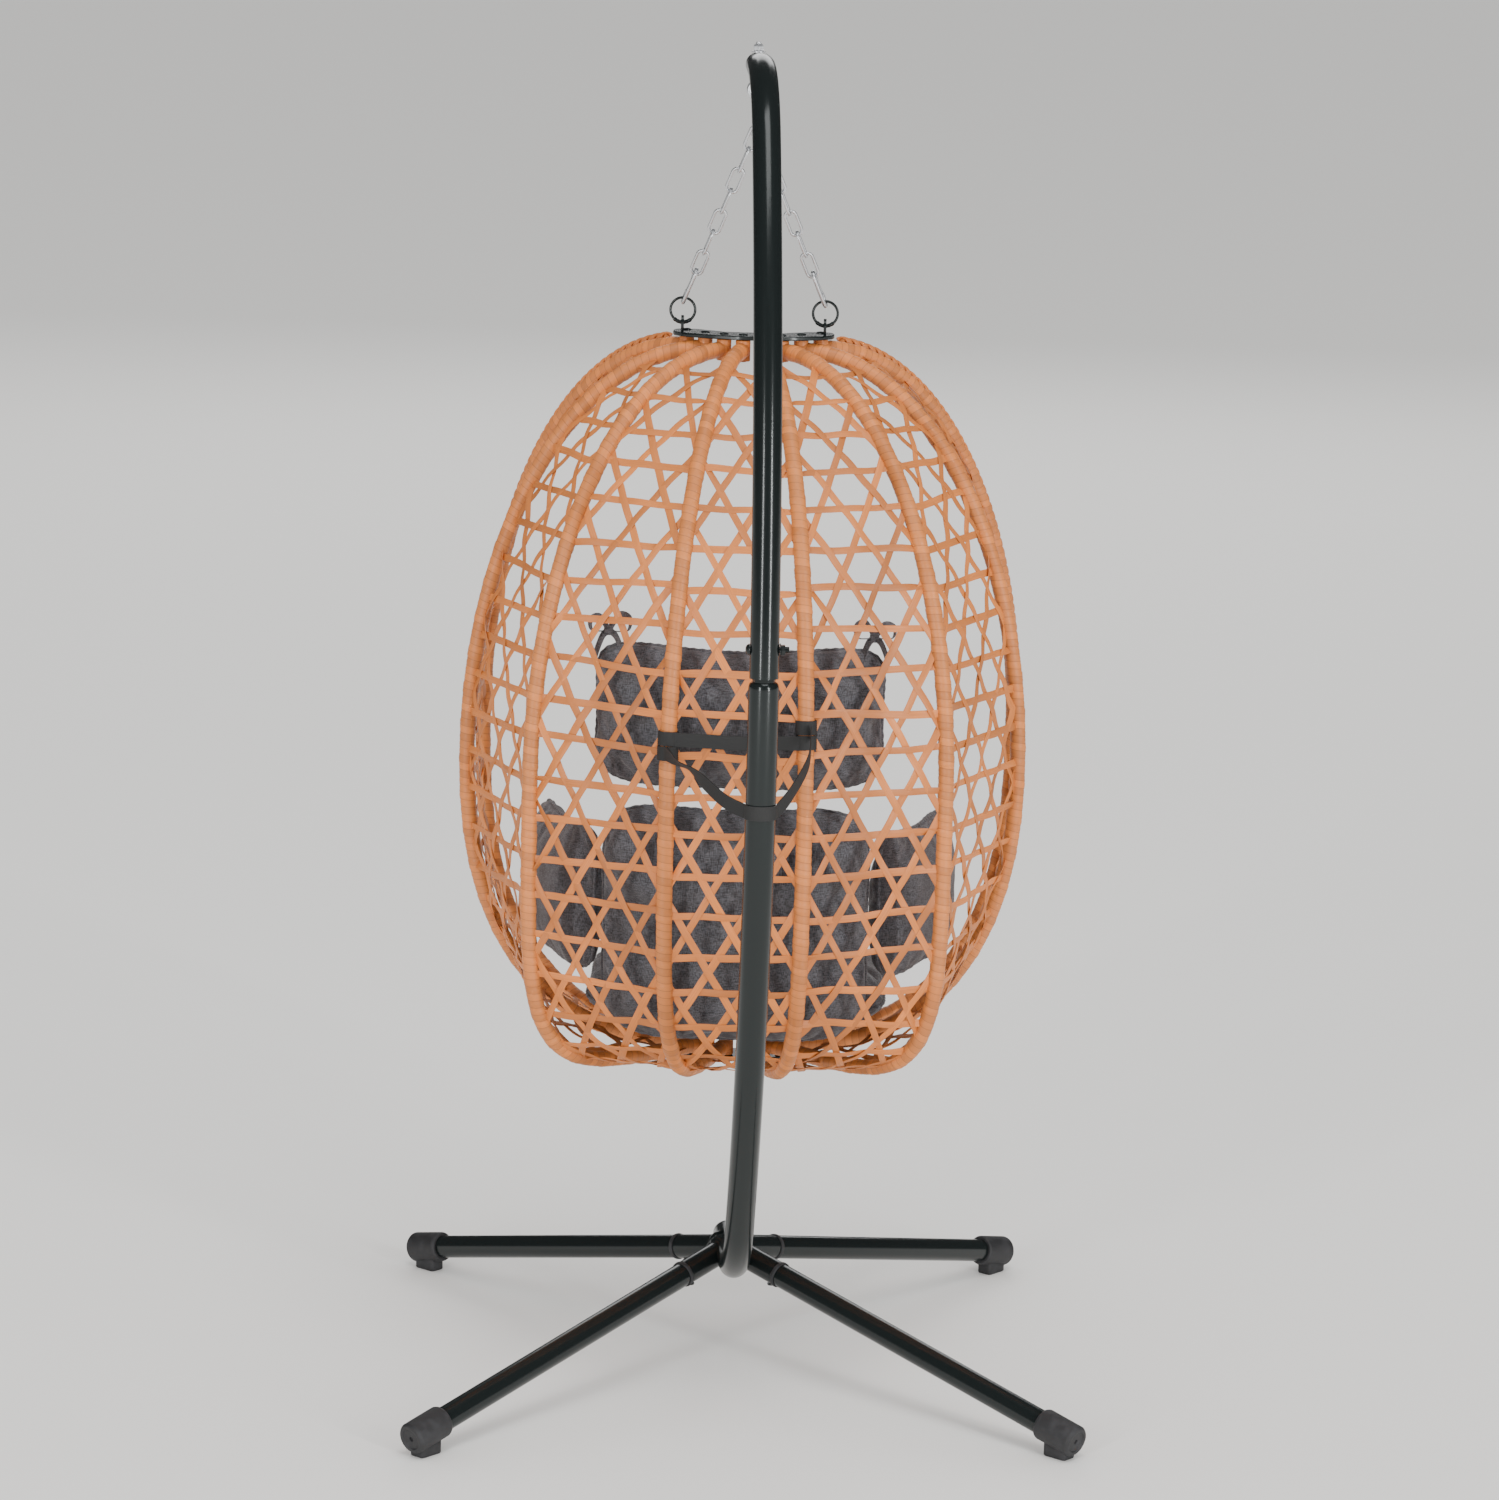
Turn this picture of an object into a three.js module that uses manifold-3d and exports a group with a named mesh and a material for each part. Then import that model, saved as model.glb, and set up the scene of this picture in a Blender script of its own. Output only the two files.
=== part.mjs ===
// Hanging egg chair: a folding rattan basket with cushions, hung by two chains from a C-shaped steel stand.
// Units are millimetres. +Z is up, +Y is the way the seat faces, and the origin is on the floor under the hub.
import * as THREE from "three";
import { mergeVertices } from "three/addons/utils/BufferGeometryUtils.js";
import Module from "manifold-3d";

const wasm = await Module();
wasm.setup();

// ---- Stand
const ARM_Z = 1916;              // centreline of the arm that carries the hook
const HUB_Z = 172;               // centreline of the run that the legs leave from
const RUN_HALF = 60;             // half length of the straight hub run
const LOWER_POST_R = 21;
const UPPER_POST_R = 20;
const POST_WALL = 2;
const BEND_R = 200;              // the tight bends at the foot and the crown of the mast
const BEND_DEG = 57;
const JOINT_RISE = 0.557;        // where the two mast sections meet, as a share of the mast's length
const SPIGOT = 60;
const SPIGOT_R = 15.8;
const OVERRUN = 0.004;           // how far a bore runs past a tube's end, as a share of the mast's length
const NECK_R = 17;
const NECK_LENGTH = 80;
const LEG_R = 17.5;
const LEG_WALL = 1.5;
const STUB_R = 18;
const STUB_REACH = 100;          // from the hub's centre to the end of each stub
const COLLAR_LENGTH = 6;
const FOOT_AXIS_Z = 28;
const CAP_R = 23;
const CAP_LENGTH = 64;
const GAP = 0.4;                 // running clearance between neighbours
const GATE_GAP = 1.6;            // room under a hook's gate, so that its foot can turn

// ---- Hanger
const EYE_R = 12;
const EYE_WIRE = 3.5;
const HOOK_WIRE = 3;
const TOP_HOOK_LENGTH = 64;
const SIDE_HOOK_LENGTH = 62;
const HOOK_WIDTH = 26;
const LINK_COUNT = 7;
const LINK_WIRE = 2.3;
const LINK_WIDTH = 21;
const RING_R = 18;
const RING_WIRE = 2;

// ---- Basket
const BASKET_TURN_DEG = -5;      // how the basket hangs, turned a little on its chains
const PIN_Y = 98;                // the hinge plates sit ahead of the hook, so the basket balances
const TOP_Z = 1500;              // centreline of the ribs at the upper hinge plate
const WIDE_Z = 900;              // where the basket is widest
const BOTTOM_Z = 462;
const RIB_R = 12;
const KNUCKLE_R = 11;
const KNUCKLE_HALF = 15.5;
const PLATE_SEAT = 16.5;         // from a knuckle's middle to the face of its hinge plate
const PIN_R = 4;
const PLATE_T = 6;
const TOP_POWER = 2;
const RIM_R = 15;
const WEAVE_T = 4;
const PANEL_ROWS = 10;
const PANEL_TOP = 0.42;          // a panel's upper and lower ends, as angles down the rib from its top
const PANEL_FOOT = Math.PI - 0.55;
// One side's ribs, from the back to the front: pin place, direction from straight back, reach and corner fullness.
const RIBS = [
  { name: "back_rib", pin: [14, -20], turn: 14.5, reach: 335, power: 4.5 },
  { name: "quarter_rib", pin: [42, -12], turn: 46, reach: 355, power: 5 },
  { name: "side_rib", pin: [70, 6], turn: 80, reach: 340, power: 2.3 },
  { name: "front_rim", pin: [98, 34], turn: 125, reach: 375, power: 2.6 },
];
const SIDES = [["left", -1], ["right", 1]];

const COLOURS = {
  steel: [0x17181a, 0.35, 0.5],
  zinc: [0xc9ccd1, 0.3, 1],
  rubber: [0x1c1c1d, 0.8, 0],
  rattan: [0xd8935c, 0.6, 0],
  webbing: [0x17171a, 0.9, 0],
  fabric: [0x57575c, 0.95, 0],
};

const chair = new THREE.Group();

function add(name, geometry, look, parent = chair) {
  const [color, roughness, metalness] = COLOURS[look];
  const mesh = new THREE.Mesh(geometry, new THREE.MeshStandardMaterial({ color, roughness, metalness }));
  mesh.name = name;
  parent.add(mesh);
  return mesh;
}

// ---- Solids
function toSolid(geometry) {
  const bare = geometry.clone();
  bare.deleteAttribute("normal");
  bare.deleteAttribute("uv");
  const merged = mergeVertices(bare, 1e-3);
  const vertProperties = new Float32Array(merged.attributes.position.array);
  const triVerts = new Uint32Array(merged.index.array);
  return new wasm.Manifold(new wasm.Mesh({ numProp: 3, vertProperties, triVerts }));
}

function toGeometry(solid) {
  const mesh = solid.getMesh();
  const geometry = new THREE.BufferGeometry();
  const position = new Float32Array(mesh.vertProperties);
  geometry.setAttribute("position", new THREE.BufferAttribute(position, 3));
  geometry.setIndex(new THREE.BufferAttribute(new Uint32Array(mesh.triVerts), 1));
  return geometry;
}

function joined(geometries) {
  return geometries.map(toSolid).reduce((whole, piece) => whole.add(piece));
}

// ---- Shapes
function rod(points, radius, sides, steps, tension = 0.5) {
  const path = points.length === 2
    ? new THREE.LineCurve3(points[0], points[1])
    : new THREE.CatmullRomCurve3(points, false, "catmullrom", tension);
  const section = new THREE.Shape();
  for (let i = 0; i < sides; i += 1) {
    const angle = (2 * Math.PI * i) / sides;
    const corner = [radius * Math.cos(angle), radius * Math.sin(angle)];
    if (i === 0) section.moveTo(...corner);
    else section.lineTo(...corner);
  }
  section.closePath();
  return new THREE.ExtrudeGeometry(section, { steps, bevelEnabled: false, extrudePath: path });
}

// A turned piece: profile points are [radius, distance along the axis], closed on itself or on the axis.
function turned(profile, segments) {
  const points = profile.map(([r, s]) => new THREE.Vector2(r, s));
  const geometry = new THREE.LatheGeometry(points, segments);
  return facingOut(geometry);
}

function facingOut(geometry) {
  const solidVolume = signedVolume(geometry);
  if (solidVolume < 0) {
    const index = geometry.index.array;
    for (let i = 0; i < index.length; i += 3) {
      [index[i + 1], index[i + 2]] = [index[i + 2], index[i + 1]];
    }
  }
  return geometry;
}

function signedVolume(geometry) {
  const p = geometry.attributes.position;
  const [a, b, c] = [new THREE.Vector3(), new THREE.Vector3(), new THREE.Vector3()];
  let sum = 0;
  for (let i = 0; i < geometry.index.count; i += 3) {
    a.fromBufferAttribute(p, geometry.index.getX(i));
    b.fromBufferAttribute(p, geometry.index.getX(i + 1));
    c.fromBufferAttribute(p, geometry.index.getX(i + 2));
    sum += a.dot(b.cross(c)) / 6;
  }
  return sum;
}

// Lays a turned piece, made along +Y, from one point towards another.
function aim(geometry, from, towards) {
  const direction = towards.clone().sub(from).normalize();
  const turn = new THREE.Quaternion().setFromUnitVectors(new THREE.Vector3(0, 1, 0), direction);
  geometry.applyQuaternion(turn);
  geometry.translate(from.x, from.y, from.z);
  return geometry;
}

// A round wire ring in the XZ plane, drawn out along Z by `stretch` between its two half circles.
function wireRing(radius, wire, stretch, sides, segments) {
  const geometry = new THREE.TorusGeometry(radius, wire, sides, segments);
  geometry.rotateX(Math.PI / 2);
  const p = geometry.attributes.position;
  for (let i = 0; i < p.count; i += 1) {
    const z = p.getZ(i);
    if (Math.abs(z) > 1e-3) p.setZ(i, z + (Math.sign(z) * stretch) / 2);
  }
  return geometry;
}

const V = (x, y, z) => new THREE.Vector3(x, y, z);
const rad = THREE.MathUtils.degToRad;

// ---- Mast: two tight bends joined by one long arc, all in the plane X = 0
const MAST_ARC_R = ((ARM_Z - HUB_Z) / 2 - BEND_R * (1 - Math.cos(rad(BEND_DEG)))) / Math.cos(rad(BEND_DEG));
const BOW = RUN_HALF + BEND_R * Math.sin(rad(BEND_DEG)) + MAST_ARC_R * (1 - Math.sin(rad(BEND_DEG)));
const REACH = BOW + LOWER_POST_R + 4;  // the feet reach as far forward as the mast and its strap bow back

function arcPoints(start, radius, fromDeg, toDeg, count) {
  const points = [];
  for (let i = 1; i <= count; i += 1) {
    const angle = rad(fromDeg + ((toDeg - fromDeg) * i) / count);
    const y = start.y - radius * (Math.sin(angle) - Math.sin(rad(fromDeg)));
    const z = start.z - radius * (Math.cos(angle) - Math.cos(rad(fromDeg)));
    points.push(V(0, y, z));
  }
  return points;
}

function mastPoints() {
  const points = [V(0, RUN_HALF, HUB_Z), V(0, 0, HUB_Z), V(0, -RUN_HALF, HUB_Z)];
  points.push(...arcPoints(points.at(-1), BEND_R, 0, BEND_DEG, 7));
  points.push(...arcPoints(points.at(-1), MAST_ARC_R, BEND_DEG, 180 - BEND_DEG, 16));
  points.push(...arcPoints(points.at(-1), BEND_R, 180 - BEND_DEG, 180, 7));
  return points;
}

const MAST = new THREE.CatmullRomCurve3(mastPoints(), false, "centripetal");

function mastStretch(from, to, count) {
  return Array.from({ length: count + 1 }, (_, i) => MAST.getPointAt(from + ((to - from) * i) / count));
}

// ---- Legs
const FOOT_XY = REACH - CAP_R * Math.SQRT1_2;
const LEG_RUN = Math.hypot(FOOT_XY, FOOT_XY, HUB_Z - FOOT_AXIS_Z);
const CORNERS = [["rear_left", -1, -1], ["rear_right", 1, -1], ["front_left", -1, 1], ["front_right", 1, 1]];

function legPoint(sx, sy, distance) {
  const share = distance / LEG_RUN;
  return V(sx * FOOT_XY * share, sy * FOOT_XY * share, HUB_Z + (FOOT_AXIS_Z - HUB_Z) * share);
}

function cylinder(from, to, radius, segments) {
  const length = from.distanceTo(to);
  const geometry = turned([[0, 0], [radius, 0], [radius, length], [0, length]], segments);
  return aim(geometry, from, to);
}

function buildLowerPost() {
  const run = mastStretch(0, JOINT_RISE, 30);
  let outer = toSolid(rod(run, LOWER_POST_R, 12, 18));
  let bores = toSolid(rod(mastStretch(0, JOINT_RISE + OVERRUN, 30), LOWER_POST_R - POST_WALL, 8, 18));
  for (const [, sx, sy] of CORNERS) {
    outer = outer.add(toSolid(cylinder(legPoint(sx, sy, 8), legPoint(sx, sy, STUB_REACH), STUB_R, 12)));
    const bore = cylinder(legPoint(sx, sy, 12), legPoint(sx, sy, STUB_REACH + 5), STUB_R - 2, 12);
    bores = bores.add(toSolid(bore));
  }
  const mouth = cylinder(V(0, RUN_HALF - 8, HUB_Z), V(0, RUN_HALF + 5, HUB_Z), LOWER_POST_R - POST_WALL, 16);
  let solid = outer.subtract(bores).subtract(toSolid(mouth));
  for (const [, sx, sy] of CORNERS) {
    solid = solid.subtract(toSolid(screwShank(sx, sy, 3 + GAP)));
  }
  add("lower_post", toGeometry(solid), "steel");
}

function buildUpperPost() {
  const start = JOINT_RISE + 1.2 / MAST.getLength();
  const run = mastStretch(start, 1, 30);
  const arm = run.at(-1);
  let solid = toSolid(rod(run, UPPER_POST_R, 12, 18));
  solid = solid.add(toSolid(cylinder(arm.clone().setY(arm.y - 4), V(0, arm.y + NECK_LENGTH, ARM_Z), NECK_R, 16)));
  let bore = toSolid(rod(mastStretch(start - OVERRUN, 1, 30), UPPER_POST_R - POST_WALL, 8, 18));
  bore = bore.add(toSolid(cylinder(arm.clone().setY(arm.y - 8), V(0, arm.y + NECK_LENGTH - 3, ARM_Z), NECK_R - 2, 16)));
  solid = solid.subtract(bore);
  const hole = cylinder(V(0, 0, ARM_Z - 40), V(0, 0, ARM_Z + 40), 4 + GAP, 12);
  solid = solid.subtract(toSolid(hole));
  solid = solid.subtract(toSolid(cylinder(jointBoltAt(-60), jointBoltAt(60), 4 + GAP, 12)));
  add("upper_post", toGeometry(solid), "steel");
}

// The bolt that locks the mast sections sits a little above their joint.
const BOLT_SHARE = JOINT_RISE + 0.0195;
function jointBoltAt(x) {
  const p = MAST.getPointAt(BOLT_SHARE);
  return V(x, p.y, p.z);
}

function buildSpigot() {
  const from = JOINT_RISE - SPIGOT / MAST.getLength();
  const to = JOINT_RISE + SPIGOT / MAST.getLength();
  const outer = toSolid(rod(mastStretch(from, to, 4), SPIGOT_R, 10, 5));
  const bore = toSolid(rod(mastStretch(from - OVERRUN, to + OVERRUN, 4), SPIGOT_R - 3, 10, 5));
  const sleeve = outer.subtract(bore);
  const hole = toSolid(cylinder(jointBoltAt(-60), jointBoltAt(60), 4 + GAP, 12));
  add("joint_spigot", toGeometry(sleeve.subtract(hole)), "steel");
}

function buildJointBolt() {
  const face = UPPER_POST_R + 0.5;
  const bolt = joined([
    cylinder(jointBoltAt(-face), jointBoltAt(face + 13), 4, 12),
    aim(turned([[0, 0], [8, 0], [7, 3], [4, 5], [0, 5.6]], 14), jointBoltAt(-face), jointBoltAt(-60)),
  ]);
  add("joint_bolt", toGeometry(bolt), "steel");
  const nut = turned([[5, 0], [9, 0], [9, 1.6], [7, 1.6], [7, 7.5], [5, 7.5], [5, 0]], 6);
  add("joint_nut", aim(nut, jointBoltAt(face), jointBoltAt(60)), "steel");
}

function screwShank(sx, sy, radius) {
  const at = legPoint(sx, sy, STUB_REACH - 14);
  return cylinder(V(at.x, at.y, at.z - STUB_R - 6), V(at.x, at.y, at.z - 9), radius, 10);
}

function buildLeg(corner, sx, sy) {
  const spigotR = STUB_R - 2 - GAP;
  const start = STUB_REACH - 30;
  const shoulder = 30 + COLLAR_LENGTH + GAP;
  const length = LEG_RUN - start - 8;
  const inner = spigotR - LEG_WALL;
  const profile = [[inner, 0], [spigotR, 0], [spigotR, shoulder], [LEG_R, shoulder], [LEG_R, length], [inner, length]];
  const leg = aim(turned([...profile, profile[0]], 12), legPoint(sx, sy, start), legPoint(sx, sy, LEG_RUN));
  const solid = toSolid(leg).subtract(toSolid(screwShank(sx, sy, 3 + GAP)));
  add(`leg_${corner}`, toGeometry(solid), "steel");
}

function buildCollar(corner, sx, sy) {
  const hole = STUB_R - 2;
  const profile = [[hole, 0], [LEG_R + 1.6, 0], [LEG_R + 1.6, COLLAR_LENGTH - GAP], [hole, COLLAR_LENGTH - GAP]];
  const ring = turned([...profile, profile[0]], 12);
  add(`leg_collar_${corner}`, aim(ring, legPoint(sx, sy, STUB_REACH + GAP), legPoint(sx, sy, LEG_RUN)), "rubber");
}

function buildScrew(corner, sx, sy) {
  const at = legPoint(sx, sy, STUB_REACH - 14);
  const headZ = at.z - STUB_R - 2.4;
  const head = aim(turned([[0, 0], [6, 0], [5, 2.6], [0, 3.4]], 10), V(at.x, at.y, headZ), V(at.x, at.y, headZ - 10));
  const shank = cylinder(V(at.x, at.y, headZ - 0.5), V(at.x, at.y, at.z - 10), 3, 10);
  add(`leg_screw_${corner}`, toGeometry(joined([head, shank])), "steel");
}

// A rubber cap over the leg's end, with a level pad moulded under it.
function buildFootCap(corner, sx, sy) {
  const from = legPoint(sx, sy, LEG_RUN - CAP_LENGTH);
  const to = legPoint(sx, sy, LEG_RUN);
  const sleeve = aim(turned([
    [0, 0], [CAP_R - 2, 0], [CAP_R, 4], [CAP_R, CAP_LENGTH - 3], [CAP_R - 3, CAP_LENGTH], [0, CAP_LENGTH],
  ], 12), from, to);
  const middle = legPoint(sx, sy, LEG_RUN - CAP_LENGTH / 2);
  const pad = new THREE.BoxGeometry(CAP_LENGTH * 0.62, 26, 24);
  pad.rotateZ(Math.atan2(sy, sx));
  pad.translate(middle.x, middle.y, 12);
  const socket = cylinder(from.clone().sub(to).normalize().multiplyScalar(5).add(from),
    legPoint(sx, sy, LEG_RUN - 8 + GAP), LEG_R + 1.2, 12);
  const floor = new THREE.BoxGeometry(400, 400, 60);
  floor.translate(middle.x, middle.y, -30);
  const solid = joined([sleeve, pad]).subtract(toSolid(socket)).subtract(toSolid(floor));
  add(`foot_cap_${corner}`, toGeometry(solid), "rubber");
}

function buildHubPlug() {
  const r = LOWER_POST_R - POST_WALL - GAP;
  const plug = turned([[0, 0], [r, 0], [r, 7], [LOWER_POST_R, 7], [LOWER_POST_R - 2, 11], [0, 11]], 16);
  add("hub_plug", aim(plug, V(0, RUN_HALF - 7 + GAP, HUB_Z), V(0, RUN_HALF + 20, HUB_Z)), "rubber");
}

// ---- Hanger
const EYE_Z = ARM_Z - NECK_R - 3 - EYE_R - EYE_WIRE;
const TOP_HOOK_Z = EYE_Z - EYE_R + EYE_WIRE + HOOK_WIRE + GAP;   // the hook's upper wire, inside the eye
const HOOK_FOOT_Z = TOP_HOOK_Z - TOP_HOOK_LENGTH + 2 * HOOK_WIRE; // the hook's lower wire, where the chains hang

function buildEyeBolt() {
  const ring = wireRing(EYE_R, EYE_WIRE, 0, 6, 14);
  ring.translate(0, 0, EYE_Z);
  const shank = cylinder(V(0, 0, EYE_Z + EYE_R), V(0, 0, ARM_Z + NECK_R + 15), 4, 12);
  add("eye_bolt", toGeometry(joined([ring, shank])), "zinc");
  const top = ARM_Z + NECK_R + 0.6;
  const washer = [[4 + GAP, 0], [10, 0], [10, 1.8], [4 + GAP, 1.8]];
  add("eye_washer", aim(turned([...washer, washer[0]], 18), V(0, 0, top), V(0, 0, top + 20)), "zinc");
  const nut = [[5, 0], [8, 0], [8, 7], [6.4, 9.5], [5, 10.4]];
  add("eye_nut", aim(turned([...nut, nut[0]], 6), V(0, 0, top + 2.2), V(0, 0, top + 20)), "zinc");
}

// A spring hook in the local XZ plane: a wire loop, open on one side, which the gate closes.
function hookPoints(length, width) {
  const r = width / 2 - HOOK_WIRE;
  const top = -HOOK_WIRE;
  const foot = -length + HOOK_WIRE;
  const points = [V(r * 0.86, 0, top - r * 1.6)];
  for (let i = 1; i <= 6; i += 1) {
    const angle = Math.PI * (0.08 + (0.84 * i) / 6);
    points.push(V(r * 0.8 * Math.cos(angle), 0, top - r * 0.8 + r * 0.8 * Math.sin(angle)));
  }
  points.push(V(-r, 0, (top + foot) / 2));
  for (let i = 0; i <= 6; i += 1) {
    const angle = Math.PI * (1 + i / 6);
    points.push(V(r * Math.cos(angle), 0, foot + r + r * Math.sin(angle)));
  }
  points.push(V(r, 0, foot + r * 1.5));
  return points;
}

function buildHook(name, length, parent) {
  const points = hookPoints(length, HOOK_WIDTH);
  const body = rod(points, HOOK_WIRE, 6, 20);
  const gateTop = points[0].clone().add(V(0, 0, -HOOK_WIRE / 2 - GAP));
  const gateFoot = points.at(-1).clone().add(V(0, 0, GATE_GAP));
  const gate = cylinder(gateFoot, gateTop, HOOK_WIRE - 0.6, 8);
  add(name, body, "zinc", parent);
  add(`${name}_gate`, gate, "zinc", parent);
}

function buildTopHook() {
  const place = new THREE.Group();
  place.position.set(0, 0, TOP_HOOK_Z + HOOK_WIRE);
  place.rotation.z = Math.PI / 2;
  chair.add(place);
  buildHook("top_hook", TOP_HOOK_LENGTH, place);
}

// One chain: links joined in a row, each turned a quarter from the last. It hangs down local -Z from the origin.
function chainSolid(pitch) {
  const links = [];
  const r = LINK_WIDTH / 2 - LINK_WIRE;
  for (let i = 0; i < LINK_COUNT; i += 1) {
    const link = wireRing(r, LINK_WIRE, linkHalf(pitch) * 2 - 2 * r, 5, 8);
    link.rotateZ(i % 2 ? Math.PI / 2 : 0);
    link.translate(0, 0, -pitch * (i + 0.5));
    links.push(link);
  }
  return toGeometry(joined(links));
}

// Half the length of a link's centreline: neighbours bite a little, so the chain is one solid.
function linkHalf(pitch) {
  return pitch / 2 + 0.75 * LINK_WIRE;
}

// ---- Basket
const basket = new THREE.Group();
basket.rotation.z = rad(BASKET_TURN_DEG);
chair.add(basket);

function pinPlace(rib, sx) {
  return V(sx * rib.pin[0], PIN_Y + rib.pin[1], 0);
}

// A rib's centreline: a dome above the widest level and a fuller corner below it, in the plane of its pin and direction.
function ribPoint(rib, sx, angle) {
  const s = Math.sin(angle);
  const c = Math.cos(angle);
  const power = c >= 0 ? TOP_POWER : rib.power;
  const out = rib.reach * Math.abs(s) ** (2 / power);
  const span = c >= 0 ? TOP_Z - WIDE_Z : WIDE_Z - BOTTOM_Z;
  const z = WIDE_Z + Math.sign(c) * span * Math.abs(c) ** (2 / power);
  const turn = rad(rib.turn);
  const pin = pinPlace(rib, sx);
  return V(pin.x + sx * out * Math.sin(turn), pin.y - out * Math.cos(turn), z);
}

function ribRoot(rib, sx, z) {
  const turn = rad(rib.turn);
  const pin = pinPlace(rib, sx);
  return V(pin.x + sx * 7 * Math.sin(turn), pin.y - 7 * Math.cos(turn), z);
}

function ribPath(rib, sx, count) {
  const points = [ribRoot(rib, sx, TOP_Z)];
  for (let i = 0; i <= count; i += 1) {
    points.push(ribPoint(rib, sx, 0.14 + (Math.PI - 0.16) * (i / count)));
  }
  points.push(ribRoot(rib, sx, BOTTOM_Z));
  return points;
}

function buildRib(rib, side, sx) {
  const radius = rib.name === "front_rim" ? RIM_R : RIB_R;
  const path = ribPath(rib, sx, 22);
  const wrap = rod(path, radius, 6, 20);
  const pin = pinPlace(rib, sx);
  const parts = [wrap];
  for (const z of [TOP_Z, BOTTOM_Z]) {
    parts.push(cylinder(V(pin.x, pin.y, z - KNUCKLE_HALF), V(pin.x, pin.y, z + KNUCKLE_HALF), KNUCKLE_R, 9));
  }
  let solid = joined(parts);
  for (const z of [TOP_Z, BOTTOM_Z]) {
    solid = solid.subtract(toSolid(cylinder(V(pin.x, pin.y, z - 40), V(pin.x, pin.y, z + 40), PIN_R + GAP, 8)));
  }
  add(`${rib.name}_${side}`, toGeometry(solid), "rattan", basket);
}

function plateOutline() {
  const half = [[16, -38], [60, -26], [104, -6], [118, 12], [118, 42], [110, 54], [84, 52], [40, 22]];
  const shape = new THREE.Shape();
  shape.moveTo(...half[0]);
  for (const [x, y] of half.slice(1)) shape.lineTo(x, y);
  for (const [x, y] of half.slice().reverse()) shape.lineTo(-x, y);
  shape.closePath();
  return shape;
}

const LUG_X = 104;
const LUG_Y = PIN_Y + 14;
const LUG_HOLE_Z = 15;

function buildPlate(name, z, up) {
  const slab = new THREE.ExtrudeGeometry(plateOutline(), { depth: PLATE_T, bevelEnabled: false });
  slab.translate(0, PIN_Y, z + (up > 0 ? 0 : -PLATE_T));
  const parts = [slab];
  for (const rib of RIBS) {
    for (const [, sx] of SIDES) {
      const pin = pinPlace(rib, sx);
      const inner = z - up * 2 * PLATE_SEAT;
      parts.push(cylinder(V(pin.x, pin.y, Math.min(inner, z)), V(pin.x, pin.y, Math.max(inner, z)), PIN_R, 8));
    }
  }
  let solid = joined(parts);
  if (up > 0) {
    for (const [, sx] of SIDES) {
      const lug = new THREE.BoxGeometry(4, 20, 24);
      lug.translate(sx * LUG_X, LUG_Y, z + PLATE_T + 11);
      const hole = cylinder(V(sx * LUG_X - 9, LUG_Y, z + PLATE_T + LUG_HOLE_Z),
        V(sx * LUG_X + 9, LUG_Y, z + PLATE_T + LUG_HOLE_Z), 4.5, 12);
      solid = solid.add(toSolid(lug)).subtract(toSolid(hole));
    }
  }
  add(name, toGeometry(solid), "steel", basket);
}

// ---- Weave panels: a thin skin between two neighbouring ribs
function panelSkin(edgeA, edgeB) {
  const rows = edgeA.length;
  const cols = 3;
  const grid = (offset) => edgeA.map((a, i) => Array.from({ length: cols }, (_, j) => {
    const t = j / (cols - 1);
    const p = a.clone().lerp(edgeB[i], t);
    const outward = V(p.x, p.y - PIN_Y, 0).normalize();
    return p.add(outward.multiplyScalar(offset));
  }));
  return closedSkin(grid(WEAVE_T / 2), grid(-WEAVE_T / 2), rows, cols);
}

function closedSkin(outer, inner, rows, cols) {
  const position = [];
  const index = [];
  for (const face of [outer, inner]) {
    for (const row of face) for (const p of row) position.push(p.x, p.y, p.z);
  }
  const id = (layer, i, j) => layer * rows * cols + i * cols + j;
  const quad = (a, b, c, d) => index.push(a, b, c, a, c, d);
  for (let i = 0; i < rows - 1; i += 1) {
    for (let j = 0; j < cols - 1; j += 1) {
      quad(id(0, i, j), id(0, i + 1, j), id(0, i + 1, j + 1), id(0, i, j + 1));
      quad(id(1, i, j), id(1, i, j + 1), id(1, i + 1, j + 1), id(1, i + 1, j));
    }
    quad(id(0, i, 0), id(1, i, 0), id(1, i + 1, 0), id(0, i + 1, 0));
    quad(id(0, i, cols - 1), id(0, i + 1, cols - 1), id(1, i + 1, cols - 1), id(1, i, cols - 1));
  }
  for (let j = 0; j < cols - 1; j += 1) {
    quad(id(0, 0, j), id(0, 0, j + 1), id(1, 0, j + 1), id(1, 0, j));
    quad(id(0, rows - 1, j), id(1, rows - 1, j), id(1, rows - 1, j + 1), id(0, rows - 1, j + 1));
  }
  const geometry = new THREE.BufferGeometry();
  geometry.setAttribute("position", new THREE.Float32BufferAttribute(position, 3));
  geometry.setIndex(index);
  return facingOut(geometry);
}

// A rib's edge for a panel: its centreline moved towards the neighbour, clear of the wrapped tube.
function panelEdges(ribA, sideA, ribB, sideB, clearA, clearB) {
  const edgeA = [];
  const edgeB = [];
  for (let i = 0; i <= PANEL_ROWS; i += 1) {
    const angle = PANEL_TOP + (PANEL_FOOT - PANEL_TOP) * (i / PANEL_ROWS);
    const a = ribPoint(ribA, sideA, angle);
    const b = ribPoint(ribB, sideB, angle);
    const across = b.clone().sub(a).normalize();
    edgeA.push(a.clone().add(across.clone().multiplyScalar(clearA)));
    edgeB.push(b.clone().sub(across.clone().multiplyScalar(clearB)));
  }
  return [edgeA, edgeB];
}

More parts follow.
